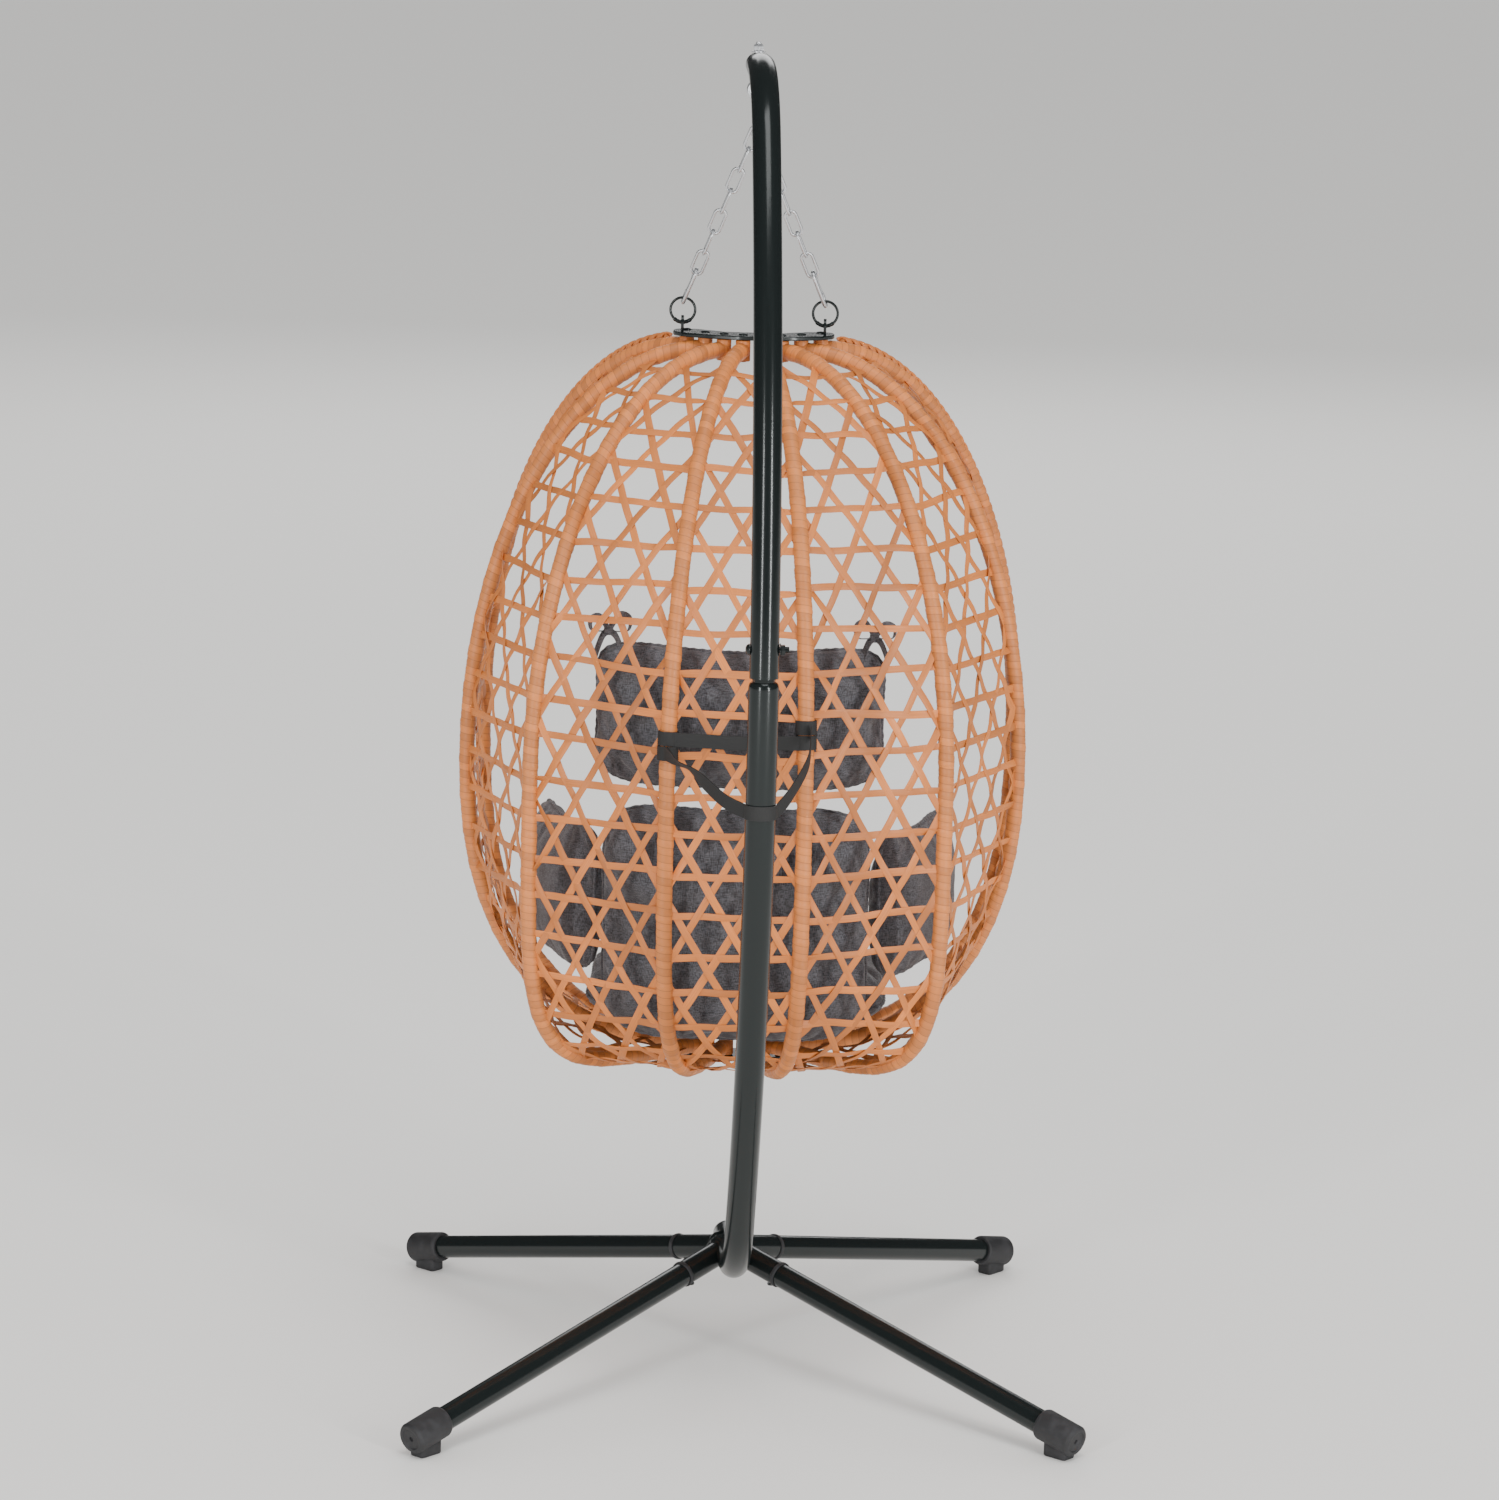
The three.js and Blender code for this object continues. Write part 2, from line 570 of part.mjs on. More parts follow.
function buildPanels() {
  const clear = RIB_R + 1.5;
  const [midA, midB] = panelEdges(RIBS[0], -1, RIBS[0], 1, clear, clear);
  add("weave_back", panelSkin(midA, midB), "rattan", basket);
  const names = ["weave_quarter", "weave_side", "weave_front"];
  for (let i = 0; i < 3; i += 1) {
    for (const [side, sx] of SIDES) {
      const [edgeA, edgeB] = panelEdges(RIBS[i], sx, RIBS[i + 1], sx, clear, i === 2 ? RIM_R + 5 : clear);
      add(`${names[i]}_${side}`, panelSkin(edgeA, edgeB), "rattan", basket);
    }
  }
}

// ---- Chains, side hooks and rings, on each side of the basket
const WIRE_SEAT = LINK_WIRE + HOOK_WIRE + GAP;   // between the centrelines of a link and a hook that touch

function buildChain(side, sx) {
  const ringZ = TOP_Z + PLATE_SEAT + PLATE_T + LUG_HOLE_Z + RING_R - 1.8;
  const ring = wireRing(RING_R, RING_WIRE, 0, 6, 16);
  ring.translate(sx * LUG_X, LUG_Y, ringZ);
  add(`ring_${side}`, ring, "steel", basket);
  const start = V(0, sx * 2.7, HOOK_FOOT_Z + 6);
  const end = V(sx * LUG_X, LUG_Y, ringZ + RING_R - RING_WIRE - HOOK_WIRE - 3 * GAP);
  const hookSpan = SIDE_HOOK_LENGTH - 2 * HOOK_WIRE;
  const chainSpan = start.distanceTo(end) - hookSpan + 2 * WIRE_SEAT;
  const pitch = (chainSpan - 1.5 * LINK_WIRE) / LINK_COUNT;
  const run = new THREE.Group();
  const down = end.clone().sub(start).normalize();
  run.position.copy(start).addScaledVector(down, 0.75 * LINK_WIRE - WIRE_SEAT);
  run.quaternion.setFromUnitVectors(V(0, 0, -1), down);
  basket.add(run);
  add(`chain_${side}`, chainSolid(pitch), "zinc", run);
  const hook = new THREE.Group();
  hook.position.set(0, 0, -LINK_COUNT * pitch - 0.75 * LINK_WIRE + WIRE_SEAT + HOOK_WIRE);
  hook.rotation.z = Math.PI / 2;
  run.add(hook);
  buildHook(`side_hook_${side}`, SIDE_HOOK_LENGTH, hook);
}

// ---- Cushions: superellipsoids with a crowned face, bent to follow the basket's wall
function cushion(width, height, thickness, bend, power = 0.55) {
  const geometry = new THREE.SphereGeometry(1, 14, 8);
  const p = geometry.attributes.position;
  const full = (v, e) => Math.sign(v) * Math.abs(v) ** e;
  for (let i = 0; i < p.count; i += 1) {
    const x = full(p.getX(i), power) * (width / 2);
    const z = full(p.getY(i), power) * (height / 2);
    const y = full(p.getZ(i), 0.8) * (thickness / 2);
    p.setXYZ(i, x, -y + bend * (x / (width / 2)) ** 2, z);
  }
  const bare = geometry.clone();
  bare.deleteAttribute("normal");
  bare.deleteAttribute("uv");
  return facingOut(mergeVertices(bare, 1e-3));
}

function addCushion(name, geometry, x, y, z, turnX = 0, turnZ = 0) {
  const mesh = add(name, geometry, "fabric", basket);
  mesh.rotation.set(rad(turnX), 0, rad(turnZ), "ZXY");
  mesh.position.set(x, y, z);
}

function buildCushions() {
  addCushion("head_pillow", cushion(430, 225, 84, 30), 0, PIN_Y - 262, 1006, 3);
  addCushion("back_cushion", cushion(400, 370, 100, 26), 0, PIN_Y - 258, 699, 7);
  addCushion("seat_cushion", cushion(460, 370, 84, 0, 0.62), 0, PIN_Y + 8, 552, 90);
  for (const [side, sx] of SIDES) {
    addCushion(`arm_cushion_${side}`, cushion(270, 230, 76, 14), sx * 262, PIN_Y - 52, 710, 0, sx * 70);
  }
}

// ---- Webbing
const WEB_WIDTH = 20;
const WEB_T = 1.4;

// A flat band standing on edge along a route: `width` across, up Z, and `thickness` through.
function ribbon(points, width, thickness) {
  const curve = new THREE.CatmullRomCurve3(points, false, "centripetal");
  const count = (points.length - 1) * 3;
  const layer = (offset) => Array.from({ length: count + 1 }, (_, i) => {
    const p = curve.getPoint(i / count);
    const along = curve.getTangent(i / count);
    const side = V(along.y, -along.x, 0).normalize().multiplyScalar(offset);
    return [-width / 2, width / 2].map((z) => p.clone().add(side).add(V(0, 0, z)));
  });
  return closedSkin(layer(thickness / 2), layer(-thickness / 2), count + 1, 2);
}

function buildBand() {
  const at = ribPoint(RIBS[0], -1, 1.43);
  const band = new THREE.BoxGeometry(-2 * at.x - 2 * RIB_R - 4, WEB_T, WEB_WIDTH);
  band.translate(0, at.y - 12, at.z);
  add("back_band", band, "webbing", basket);
}

function mastPointAtHeight(z) {
  let share = 0.5;
  for (let step = 0.25; step > 1e-5; step /= 2) share += MAST.getPointAt(share).z < z ? step : -step;
  return MAST.getPointAt(share);
}

// The loose loop: from the left back rib, round behind the mast, to the right back rib.
function buildTether() {
  const turn = basket.rotation.z;
  const ribAt = (sx, angle) => ribPoint(RIBS[0], sx, angle).applyAxisAngle(V(0, 0, 1), turn);
  const left = ribAt(-1, 1.46).add(V(-6, -RIB_R - 4, 0));
  const right = ribAt(1, 1.4).add(V(6, -RIB_R - 4, 0));
  const mast = mastPointAtHeight(925);
  const loop = LOWER_POST_R + 1 + WEB_T / 2;
  const points = [left, V(-88, -350, 958), V(-50, -424, 935)];
  for (let i = 0; i <= 6; i += 1) {
    const angle = Math.PI * (1 + i / 6);
    points.push(V(loop * Math.cos(angle), mast.y + loop * Math.sin(angle), 926));
  }
  points.push(V(45, -420, 945), V(72, -350, 975), right);
  add("tether_strap", ribbon(points, WEB_WIDTH, WEB_T), "webbing");
}

buildLowerPost();
buildUpperPost();
buildSpigot();
buildJointBolt();
for (const [corner, sx, sy] of CORNERS) {
  buildLeg(corner, sx, sy);
  buildCollar(corner, sx, sy);
  buildScrew(corner, sx, sy);
  buildFootCap(corner, sx, sy);
}
buildHubPlug();
buildEyeBolt();
buildTopHook();
for (const rib of RIBS) {
  for (const [side, sx] of SIDES) buildRib(rib, side, sx);
}
buildPlate("top_hinge_plate", TOP_Z + PLATE_SEAT, 1);
buildPlate("bottom_hinge_plate", BOTTOM_Z - PLATE_SEAT, -1);
buildPanels();
for (const [side, sx] of SIDES) buildChain(side, sx);
buildCushions();
buildBand();
buildTether();

export default chair;
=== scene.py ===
"""Hanging egg chair: a rattan basket with cushions on a C-shaped steel stand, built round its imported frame.

Lengths are metres and angles are degrees. +Z is up, +Y is the way the seat faces, and the origin is on the floor.
"""
import math

import bpy
import numpy as np
from bpy.props import FloatProperty, FloatVectorProperty, IntProperty, PointerProperty
from mathutils import Matrix, Vector


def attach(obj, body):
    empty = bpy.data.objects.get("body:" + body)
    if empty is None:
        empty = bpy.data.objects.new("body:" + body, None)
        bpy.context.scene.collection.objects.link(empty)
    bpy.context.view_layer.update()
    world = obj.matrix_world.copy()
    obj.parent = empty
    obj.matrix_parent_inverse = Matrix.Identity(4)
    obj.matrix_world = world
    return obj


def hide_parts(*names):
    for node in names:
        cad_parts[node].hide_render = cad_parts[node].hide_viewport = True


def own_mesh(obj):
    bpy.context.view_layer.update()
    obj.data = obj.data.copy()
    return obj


bl_info = {
    "name": "Hanging Egg Chair",
    "version": (1, 0, 0),
    "blender": (4, 5, 0),
    "location": "View3D > Sidebar > Egg Chair",
    "description": "Builds a rattan egg chair hung from a steel stand",
    "category": "Object",
}

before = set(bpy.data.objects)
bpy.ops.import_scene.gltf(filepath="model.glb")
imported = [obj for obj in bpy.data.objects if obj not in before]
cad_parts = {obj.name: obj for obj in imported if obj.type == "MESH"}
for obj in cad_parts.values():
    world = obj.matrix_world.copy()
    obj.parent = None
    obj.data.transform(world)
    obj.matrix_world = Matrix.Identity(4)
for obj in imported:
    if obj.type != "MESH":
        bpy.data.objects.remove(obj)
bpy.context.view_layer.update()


# ---- The chair's driving dimensions
ARM_Z = 1.916                 # centreline of the arm that carries the hook
HUB_Z = 0.172                 # centreline of the run that the legs leave from
RUN_HALF = 0.06
BEND_R = 0.2
BEND_ANGLE = math.radians(57)
JOINT_RISE = 0.557            # where the two mast sections meet, as a share of the mast's length
BOLT_RISE = JOINT_RISE + 0.0195
NECK_R = 0.017
NECK_LENGTH = 0.08
FOOT_AXIS_Z = 0.028
CAP_R = 0.023
CAP_LENGTH = 0.064
LONG_R = ((ARM_Z - HUB_Z) / 2 - BEND_R * (1 - math.cos(BEND_ANGLE))) / math.cos(BEND_ANGLE)
BOW = RUN_HALF + BEND_R * math.sin(BEND_ANGLE) + LONG_R * (1 - math.sin(BEND_ANGLE))
FOOT_XY = BOW + 0.025 - CAP_R * math.sqrt(0.5)
LEG_RUN = math.sqrt(2 * FOOT_XY ** 2 + (HUB_Z - FOOT_AXIS_Z) ** 2)
STUB_REACH = 0.1
COLLAR_LENGTH = 0.006
GAP = 0.0004
GATE_GAP = 0.0016
CORNERS = [("rear_left", -1, -1), ("rear_right", 1, -1), ("front_left", -1, 1), ("front_right", 1, 1)]

EYE_R = 0.012
EYE_WIRE = 0.0035
HOOK_WIRE = 0.003
TOP_HOOK_LENGTH = 0.064
SIDE_HOOK_LENGTH = 0.062
HOOK_WIDTH = 0.026
LINK_COUNT = 7
LINK_WIRE = 0.0023
LINK_WIDTH = 0.021
RING_R = 0.018
RING_WIRE = 0.002

BASKET_TURN = math.radians(-5)
PIN_Y = 0.098
TOP_Z = 1.5
WIDE_Z = 0.9
BOTTOM_Z = 0.462
PLATE_SEAT = 0.0165
KNUCKLE_HALF = 0.0155
PLATE_T = 0.006
LUG_X = 0.104
LUG_Y = PIN_Y + 0.014
LUG_HOLE_Z = 0.015
DOME_POWER = 2
# One side's ribs from the back to the front: pin place, direction from straight back, reach and corner fullness.
RIBS = {
    "back": {"pin": (0.014, -0.020), "turn": 14.5, "reach": 0.335, "power": 4.5},
    "quarter": {"pin": (0.042, -0.012), "turn": 46, "reach": 0.355, "power": 5},
    "side": {"pin": (0.070, 0.006), "turn": 80, "reach": 0.340, "power": 2.3},
    "rim": {"pin": (0.098, 0.034), "turn": 125, "reach": 0.375, "power": 2.6},
}
SIDES = [("left", -1), ("right", 1)]

# Angles down a rib, from 0 at its top pin to pi at its foot
PANEL_TOP = 0.21              # the weave starts clear of the upper hinge plate
PANEL_FOOT = math.pi - 0.17
BRAID_END = 0.10

# The hoop's braid
BRAID_FORWARD = 0.0090        # how far its middle stands off the hoop's, square to the hoop's plane
BRAID_OUT = 0.0128            # and how far outwards
BRAID_HELIX = 0.0044
BRAID_LAY = 0.030
BRAID_OVAL = (0.0028, 0.0044)

# The webbing
WEBBING_T = 0.0016
BAND_ANGLE = 1.43
LOOP_R = 0.0235               # the loop's bend behind the mast, just clear of the tube
LOOP_Z = 0.926

# The cushions
SHELL_RINGS = 40
SHELL_AROUND = 120
FILL_CAP = 0.014              # the furthest that filling may move a point of the cloth
SEAM_WELT_R = 0.0026

FLOOR_HALF = 250
SENSOR_WIDTH = 36


def linear(hex_colour):
    """An sRGB hex colour as linear red, green and blue."""
    value = np.array([int(hex_colour[i:i + 2], 16) for i in (1, 3, 5)]) / 255
    return tuple(np.where(value <= 0.04045, value / 12.92, ((value + 0.055) / 1.055) ** 2.4))


# ---- Settings that a user would change
def size(name, description, default):
    return FloatProperty(name=name, description=description, default=default, min=0.0002, unit="LENGTH",
                         precision=4)


def colour(name, description, hex_colour):
    return FloatVectorProperty(name=name, description=description, default=linear(hex_colour),
                               subtype="COLOR",
                               size=3, min=0, max=1)


class EGG_PG_stand(bpy.types.PropertyGroup):
    lower_radius: size("Lower Tube Radius", "Outer radius of the lower mast section", 0.021)
    upper_radius: size("Upper Tube Radius", "Outer radius of the upper mast section", 0.020)
    leg_radius: size("Leg Radius", "Outer radius of each leg", 0.0175)
    coat: colour("Powder Coat", "Colour of the coated steel", "#100E0E")
    rubber: colour("Rubber", "Colour of the foot caps and collars", "#242426")


class EGG_PG_hanger(bpy.types.PropertyGroup):
    zinc: colour("Zinc", "Colour of the plated hooks and chains", "#C9CBCD")


class EGG_PG_basket(bpy.types.PropertyGroup):
    rib_radius: size("Rib Radius", "Radius of a wrapped rib", 0.0112)
    strip_width: size("Strip Width", "Width of a weaving strip", 0.0106)
    strip_thickness: size("Strip Thickness", "Thickness of a weaving strip", 0.0013)
    row_spacing: size("Row Spacing", "Height from one woven row to the next", 0.058)
    wrap_pitch: size("Wrap Pitch", "Distance between the turns of the wrap on a rib", 0.011)
    rattan: colour("Rattan", "Colour of the woven strips and wraps", "#D27A36")


class EGG_PG_soft(bpy.types.PropertyGroup):
    fabric: colour("Fabric", "Mid tone of the cushions' heathered cloth", "#55555A")
    webbing: colour("Webbing", "Colour of the elastic straps", "#101011")
    strap_width: size("Strap Width", "Width of the elastic straps", 0.020)
    voxel: size("Voxel", "Mesh size that the cushions are simulated at", 0.006)
    puff: FloatProperty(name="Puff", description="Air pressure that swells the cushions", default=4, min=0,
                        max=20)
    frames: IntProperty(name="Frames", description="Frames of cloth simulation", default=20, min=2, max=60)


class EGG_PG_stage(bpy.types.PropertyGroup):
    floor: colour("Floor", "Colour of the floor", "#ECEBE8")
    lens: FloatProperty(name="Lens", description="Focal length of the camera", default=0.11714, unit="CAMERA")
    distance: FloatProperty(name="Distance", description="Floor distance to the camera", default=7.0,
                            unit="LENGTH")
    eye_height: FloatProperty(name="Eye Height", description="Height of the camera", default=2.256,
                              unit="LENGTH")


GROUPS = {"egg_stand": EGG_PG_stand, "egg_hanger": EGG_PG_hanger, "egg_basket": EGG_PG_basket,
          "egg_soft": EGG_PG_soft, "egg_stage": EGG_PG_stage}


# ---- Shapes, each a Part: points, faces and a UV for each face corner
class Part:
    def __init__(self, points, faces, uvs):
        self.points, self.faces, self.uvs = points, faces, uvs


def unit(vectors):
    return vectors / np.maximum(np.linalg.norm(vectors, axis=-1, keepdims=True), 1e-12)


def join(parts):
    """Several parts as one: each part's faces count on from the points before it."""
    faces, uvs, offset = [], [], 0
    for part in parts:
        faces += [block + offset for block in part.faces]
        uvs += part.uvs
        offset += len(part.points)
    return Part(np.vstack([part.points for part in parts]), faces, uvs)


def volume(part):
    """Signed volume: one sixth of the sum of each fan triangle's triple product."""
    total = 0.0
    for block in part.faces:
        corners = part.points[block]
        for k in range(1, block.shape[1] - 1):
            crossed = np.cross(corners[:, k], corners[:, k + 1])
            total += np.einsum("ij,ij->", corners[:, 0], crossed) / 6
    return total


def outward(part):
    """The same part with its faces pointing out."""
    if volume(part) >= 0:
        return part
    return Part(part.points, [block[:, ::-1] for block in part.faces], [uv[:, ::-1] for uv in part.uvs])


def grid(points, uv=None, around=True, along=False, caps=True):
    """Points in rows and columns as quads. `around` closes each row on itself and `along` each column.
    Open rows at the two ends become flat caps. The UV runs on past the seam, so no face spans it."""
    rows, cols = points.shape[:2]
    i, j = np.meshgrid(np.arange(rows - (not along)), np.arange(cols - (not around)), indexing="ij")
    i1, j1 = (i + 1) % rows, (j + 1) % cols
    quads = np.stack([i * cols + j, i * cols + j1, i1 * cols + j1, i1 * cols + j], -1).reshape(-1, 4)
    if uv is None:
        uv = np.stack(np.meshgrid(np.arange(rows + 1), np.arange(cols + 1), indexing="ij")[::-1], -1) * 0.001
    corner_uv = np.stack([uv[i, j], uv[i, j + 1], uv[i + 1 if along else i1, j + 1],
                          uv[i + 1 if along else i1, j]], -2)
    faces, uvs = [quads], [corner_uv.reshape(-1, 4, 2)]
    if caps and around and not along:
        first, last = np.arange(cols)[None, ::-1], (rows - 1) * cols + np.arange(cols)[None, :]
        faces += [first, last]
        uvs += [uv[0, :cols][None, ::-1], uv[rows - 1, :cols][None, :]]
    return outward(Part(points.reshape(-1, 3), faces, uvs))


def run_length(path):
    """Distance along a path at each of its points."""
    return np.concatenate([[0], np.cumsum(np.linalg.norm(np.diff(path, axis=0), axis=1))])


def resample(path, count):
    """The same path with `count` points, equally spaced along it."""
    length = run_length(path)
    where = np.linspace(0, length[-1], count)
    return np.stack([np.interp(where, length, path[:, k]) for k in range(3)], -1)


def spline(points, count):
    """A smooth path through the points: on each stretch a cubic whose slopes are half the step between neighbours."""
    p = np.asarray(points, float)
    p = np.vstack([2 * p[0] - p[1], p, 2 * p[-1] - p[-2]])
    t = np.linspace(0, len(p) - 3 - 1e-9, count)
    k, u = t.astype(int), (t % 1)[:, None]
    a, b, c, d = p[k], p[k + 1], p[k + 2], p[k + 3]
    return b + u * (c - a) / 2 + u ** 2 * (2 * a - 5 * b + 4 * c - d) / 2 + u ** 3 * (3 * b - a - 3 * c + d) / 2


def sweep(path, side, section, uv=None, closed=False):
    """A section carried along a path. `side` is roughly the section's first axis; its second is square to it and
    to the path. The section is (corners, 2), or (points, corners, 2) where it changes along the path."""
    ahead = np.roll(path, -1, 0) - np.roll(path, 1, 0) if closed else np.gradient(path, axis=0)
    tangent = unit(ahead)
    side = np.broadcast_to(side, path.shape)
    across = unit(side - tangent * np.sum(side * tangent, -1, keepdims=True))
    up = np.cross(tangent, across)
    section = np.broadcast_to(section, (len(path),) + section.shape[-2:])
    points = path[:, None] + section[..., :1] * across[:, None] + section[..., 1:] * up[:, None]
    if uv is None:
        edge = np.linalg.norm(np.diff(section[0], axis=0, append=section[0][:1]), axis=1)
        around = np.concatenate([[0], np.cumsum(edge)])
        length = run_length(np.vstack([path, path[:1]]))
        uv = np.stack(np.broadcast_arrays(around[None, :], length[:, None]), -1)
    return grid(points, uv, around=True, along=closed)


def circle(radius, count):
    """A round section: radius times cosine and sine. The radius may change along the path and round it."""
    angle = np.linspace(0, 2 * np.pi, count, endpoint=False)
    radius = np.asarray(radius, float)
    if radius.ndim == 1:
        radius = radius[:, None]
    return np.stack([radius * np.cos(angle), radius * np.sin(angle)], -1)


def tube(path, side, radius, count=32, closed=False):
    """A round tube along a path; the radius is one number, or an array with one row for each path point."""
    section = circle(radius, count)
    return sweep(path, np.asarray(side, float), section, closed=closed)


def soften(profile, radius, steps=4):
    """A profile with each inner corner rounded: a quadratic curve from one side of the corner to the other."""
    p = np.asarray(profile, float)
    out = [p[:1]]
    u = np.linspace(0, 1, steps + 1)[:, None]
    for before, corner, after in zip(p[:-2], p[1:-1], p[2:]):
        a = corner + unit(before - corner) * min(radius, np.linalg.norm(before - corner) * 0.45)
        b = corner + unit(after - corner) * min(radius, np.linalg.norm(after - corner) * 0.45)
        out.append((1 - u) ** 2 * a + 2 * u * (1 - u) * corner + u ** 2 * b)
    return np.vstack(out + [p[-1:]])


def square_to(axis):
    """Two unit vectors square to an axis and to each other."""
    helper = np.array([0, 0, 1.0]) if abs(axis[2]) < 0.9 else np.array([1.0, 0, 0])
    a = unit(np.cross(axis, helper))
    return a, np.cross(axis, a)


def lathe(profile, start, towards, count=32, closed=False):
    """A turned piece: each (radius, distance) of the profile is carried round the axis from `start`."""
    profile, start = np.asarray(profile, float), np.asarray(start, float)
    axis = unit(np.asarray(towards, float) - start)
    a, b = square_to(axis)
    angle = np.linspace(0, 2 * np.pi, count, endpoint=False)
    ring = np.cos(angle)[:, None] * a + np.sin(angle)[:, None] * b
    points = start + profile[:, None, 1:] * axis + profile[:, None, :1] * ring[None]
    length = run_length(np.pad(np.vstack([profile, profile[:1]]), ((0, 0), (0, 1))))
    around = np.linspace(0, 2 * np.pi * profile[:, 0].max(), count + 1)
    uv = np.stack(np.broadcast_arrays(around[None, :], length[:, None]), -1)
    return grid(points, uv, around=True, along=closed)


def prism(outline, low, high, bevel=0.0008):
    """An outline in X and Y drawn up from `low` to `high`, its two edges eased by `bevel`."""
    outline = np.asarray(outline, float)
    middle = outline.mean(0)
    inner = middle + (outline - middle) * (1 - bevel / np.linalg.norm(outline - middle, axis=1,
                                                                      keepdims=True))
    rings = [(inner, low), (outline, low + bevel), (outline, high - bevel), (inner, high)]
    points = np.stack([np.pad(ring, ((0, 0), (0, 1)), constant_values=z) for ring, z in rings])
    return grid(points)


def turned_about_z(points, angle):
    c, s = math.cos(angle), math.sin(angle)
    return points @ np.array([[c, -s, 0], [s, c, 0], [0, 0, 1]]).T


def hung(points):
    """Basket places in the row frame: the basket hangs turned on its chains."""
    return turned_about_z(np.asarray(points, float), BASKET_TURN)


def moved(part, offset):
    return Part(part.points + np.asarray(offset, float), part.faces, part.uvs)


# ---- Pieces
def make_mesh(name, part, sharp_deg=40):
    mesh = bpy.data.meshes.new(name)
    sizes = np.concatenate([np.full(len(block), block.shape[1]) for block in part.faces])
    loops = np.concatenate([block.ravel() for block in part.faces])
    mesh.vertices.add(len(part.points))
    mesh.vertices.foreach_set("co", part.points.astype(np.float32).ravel())
    mesh.loops.add(len(loops))
    mesh.loops.foreach_set("vertex_index", loops.astype(np.int32))
    mesh.polygons.add(len(sizes))
    mesh.polygons.foreach_set("loop_start", np.concatenate([[0], np.cumsum(sizes)[:-1]]).astype(np.int32))
    mesh.polygons.foreach_set("loop_total", sizes.astype(np.int32))
    mesh.update(calc_edges=True)
    layer = mesh.uv_layers.new(name="Surface")
    layer.data.foreach_set("uv", np.concatenate([uv.reshape(-1) for uv in part.uvs]).astype(np.float32))
    mesh.polygons.foreach_set("use_smooth", np.ones(len(sizes), bool))
    mesh.set_sharp_from_angle(angle=math.radians(sharp_deg))
    return mesh


def piece(name, parts, material, body, nodes=(), sharp_deg=40):
    """A new piece, in place: its mesh, material, body, slot and the frame nodes that it stands for."""
    part = join(parts) if isinstance(parts, list) else parts
    obj = bpy.data.objects.new(name, make_mesh(name, part, sharp_deg))
    bpy.context.scene.collection.objects.link(obj)
    obj.data.materials.append(material)
    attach(obj, body)
    if nodes:
        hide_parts(*nodes)
    return obj


# ---- Materials
def connect(tree, node, inputs):
    """Gives each named or numbered input its number or colour, or links it to another node's output."""
    for key, value in inputs.items():
        if isinstance(value, bpy.types.NodeSocket):
            tree.links.new(value, node.inputs[key])
        else:
            node.inputs[key].default_value = value


def add_node(tree, kind, inputs, output=0, **settings):
    """Adds a node with its settings and inputs, and gives back one of its outputs."""
    node = tree.nodes.new(kind)
    for key, value in settings.items():
        setattr(node, key, value)
    connect(tree, node, inputs)
    return node.outputs[output]


def new_material(name):
    """A material by name with its node tree and shader, or no tree where it has been made already."""
    material = bpy.data.materials.get(name)
    if material:
        return material, None, None
    material = bpy.data.materials.new(name)
    material.use_nodes = True
    tree = material.node_tree
    return material, tree, tree.nodes["Principled BSDF"]


def rgba(colour_value, scale=1.0):
    return tuple(min(1.0, c * scale) for c in colour_value) + (1.0,)


def speckle(tree, size_m, stretch=(1, 1, 1), detail=2.0):
    """Noise over the piece's own space, with features of a real size in metres, drawn out where `stretch` is small."""
    place = add_node(tree, "ShaderNodeTexCoord", {}, "Object")
    scaled = add_node(tree, "ShaderNodeMapping", {"Vector": place, "Scale": stretch})
    return add_node(tree, "ShaderNodeTexNoise", {"Vector": scaled, "Scale": 1 / size_m, "Detail": detail})


def streaks(tree, fine_m, long_m, turned=False):
    """Noise on the piece's own UV, which is in metres: fine across the strip and long down it, or turned round."""
    surface = add_node(tree, "ShaderNodeUVMap", {}, uv_map="Surface")
    scale = (1 / long_m, 1 / fine_m, 1) if turned else (1 / fine_m, 1 / long_m, 1)
    scaled = add_node(tree, "ShaderNodeMapping", {"Vector": surface, "Scale": scale})
    return add_node(tree, "ShaderNodeTexNoise", {"Vector": scaled, "Scale": 1.0, "Detail": 3.0})


def powder_coat(settings):
    """Polyester powder coat on steel: sprayed as dust and baked, so it is glossy with a faint orange peel."""
    material, tree, shader = new_material("powder_coated_steel")
    if tree:
        cloud = speckle(tree, 0.06)
        tone = add_node(tree, "ShaderNodeMix",
                        {0: cloud, 6: rgba(settings.coat, 0.8), 7: rgba(settings.coat, 1.2)}, 2,
                        data_type="RGBA")
        rough = add_node(tree, "ShaderNodeMapRange", {0: cloud, 1: 0.3, 2: 0.7, 3: 0.16, 4: 0.24})
        peel = speckle(tree, 0.003)                # orange peel is 2 to 4 mm across
        relief = add_node(tree, "ShaderNodeBump", {"Height": peel, "Distance": 0.00012, "Strength": 0.35})
        connect(tree, shader, {"Base Color": tone, "Roughness": rough, "Normal": relief, "Coat Weight": 0.12,
                               "Coat Roughness": 0.05, "Specular IOR Level": 0.16})
    return material


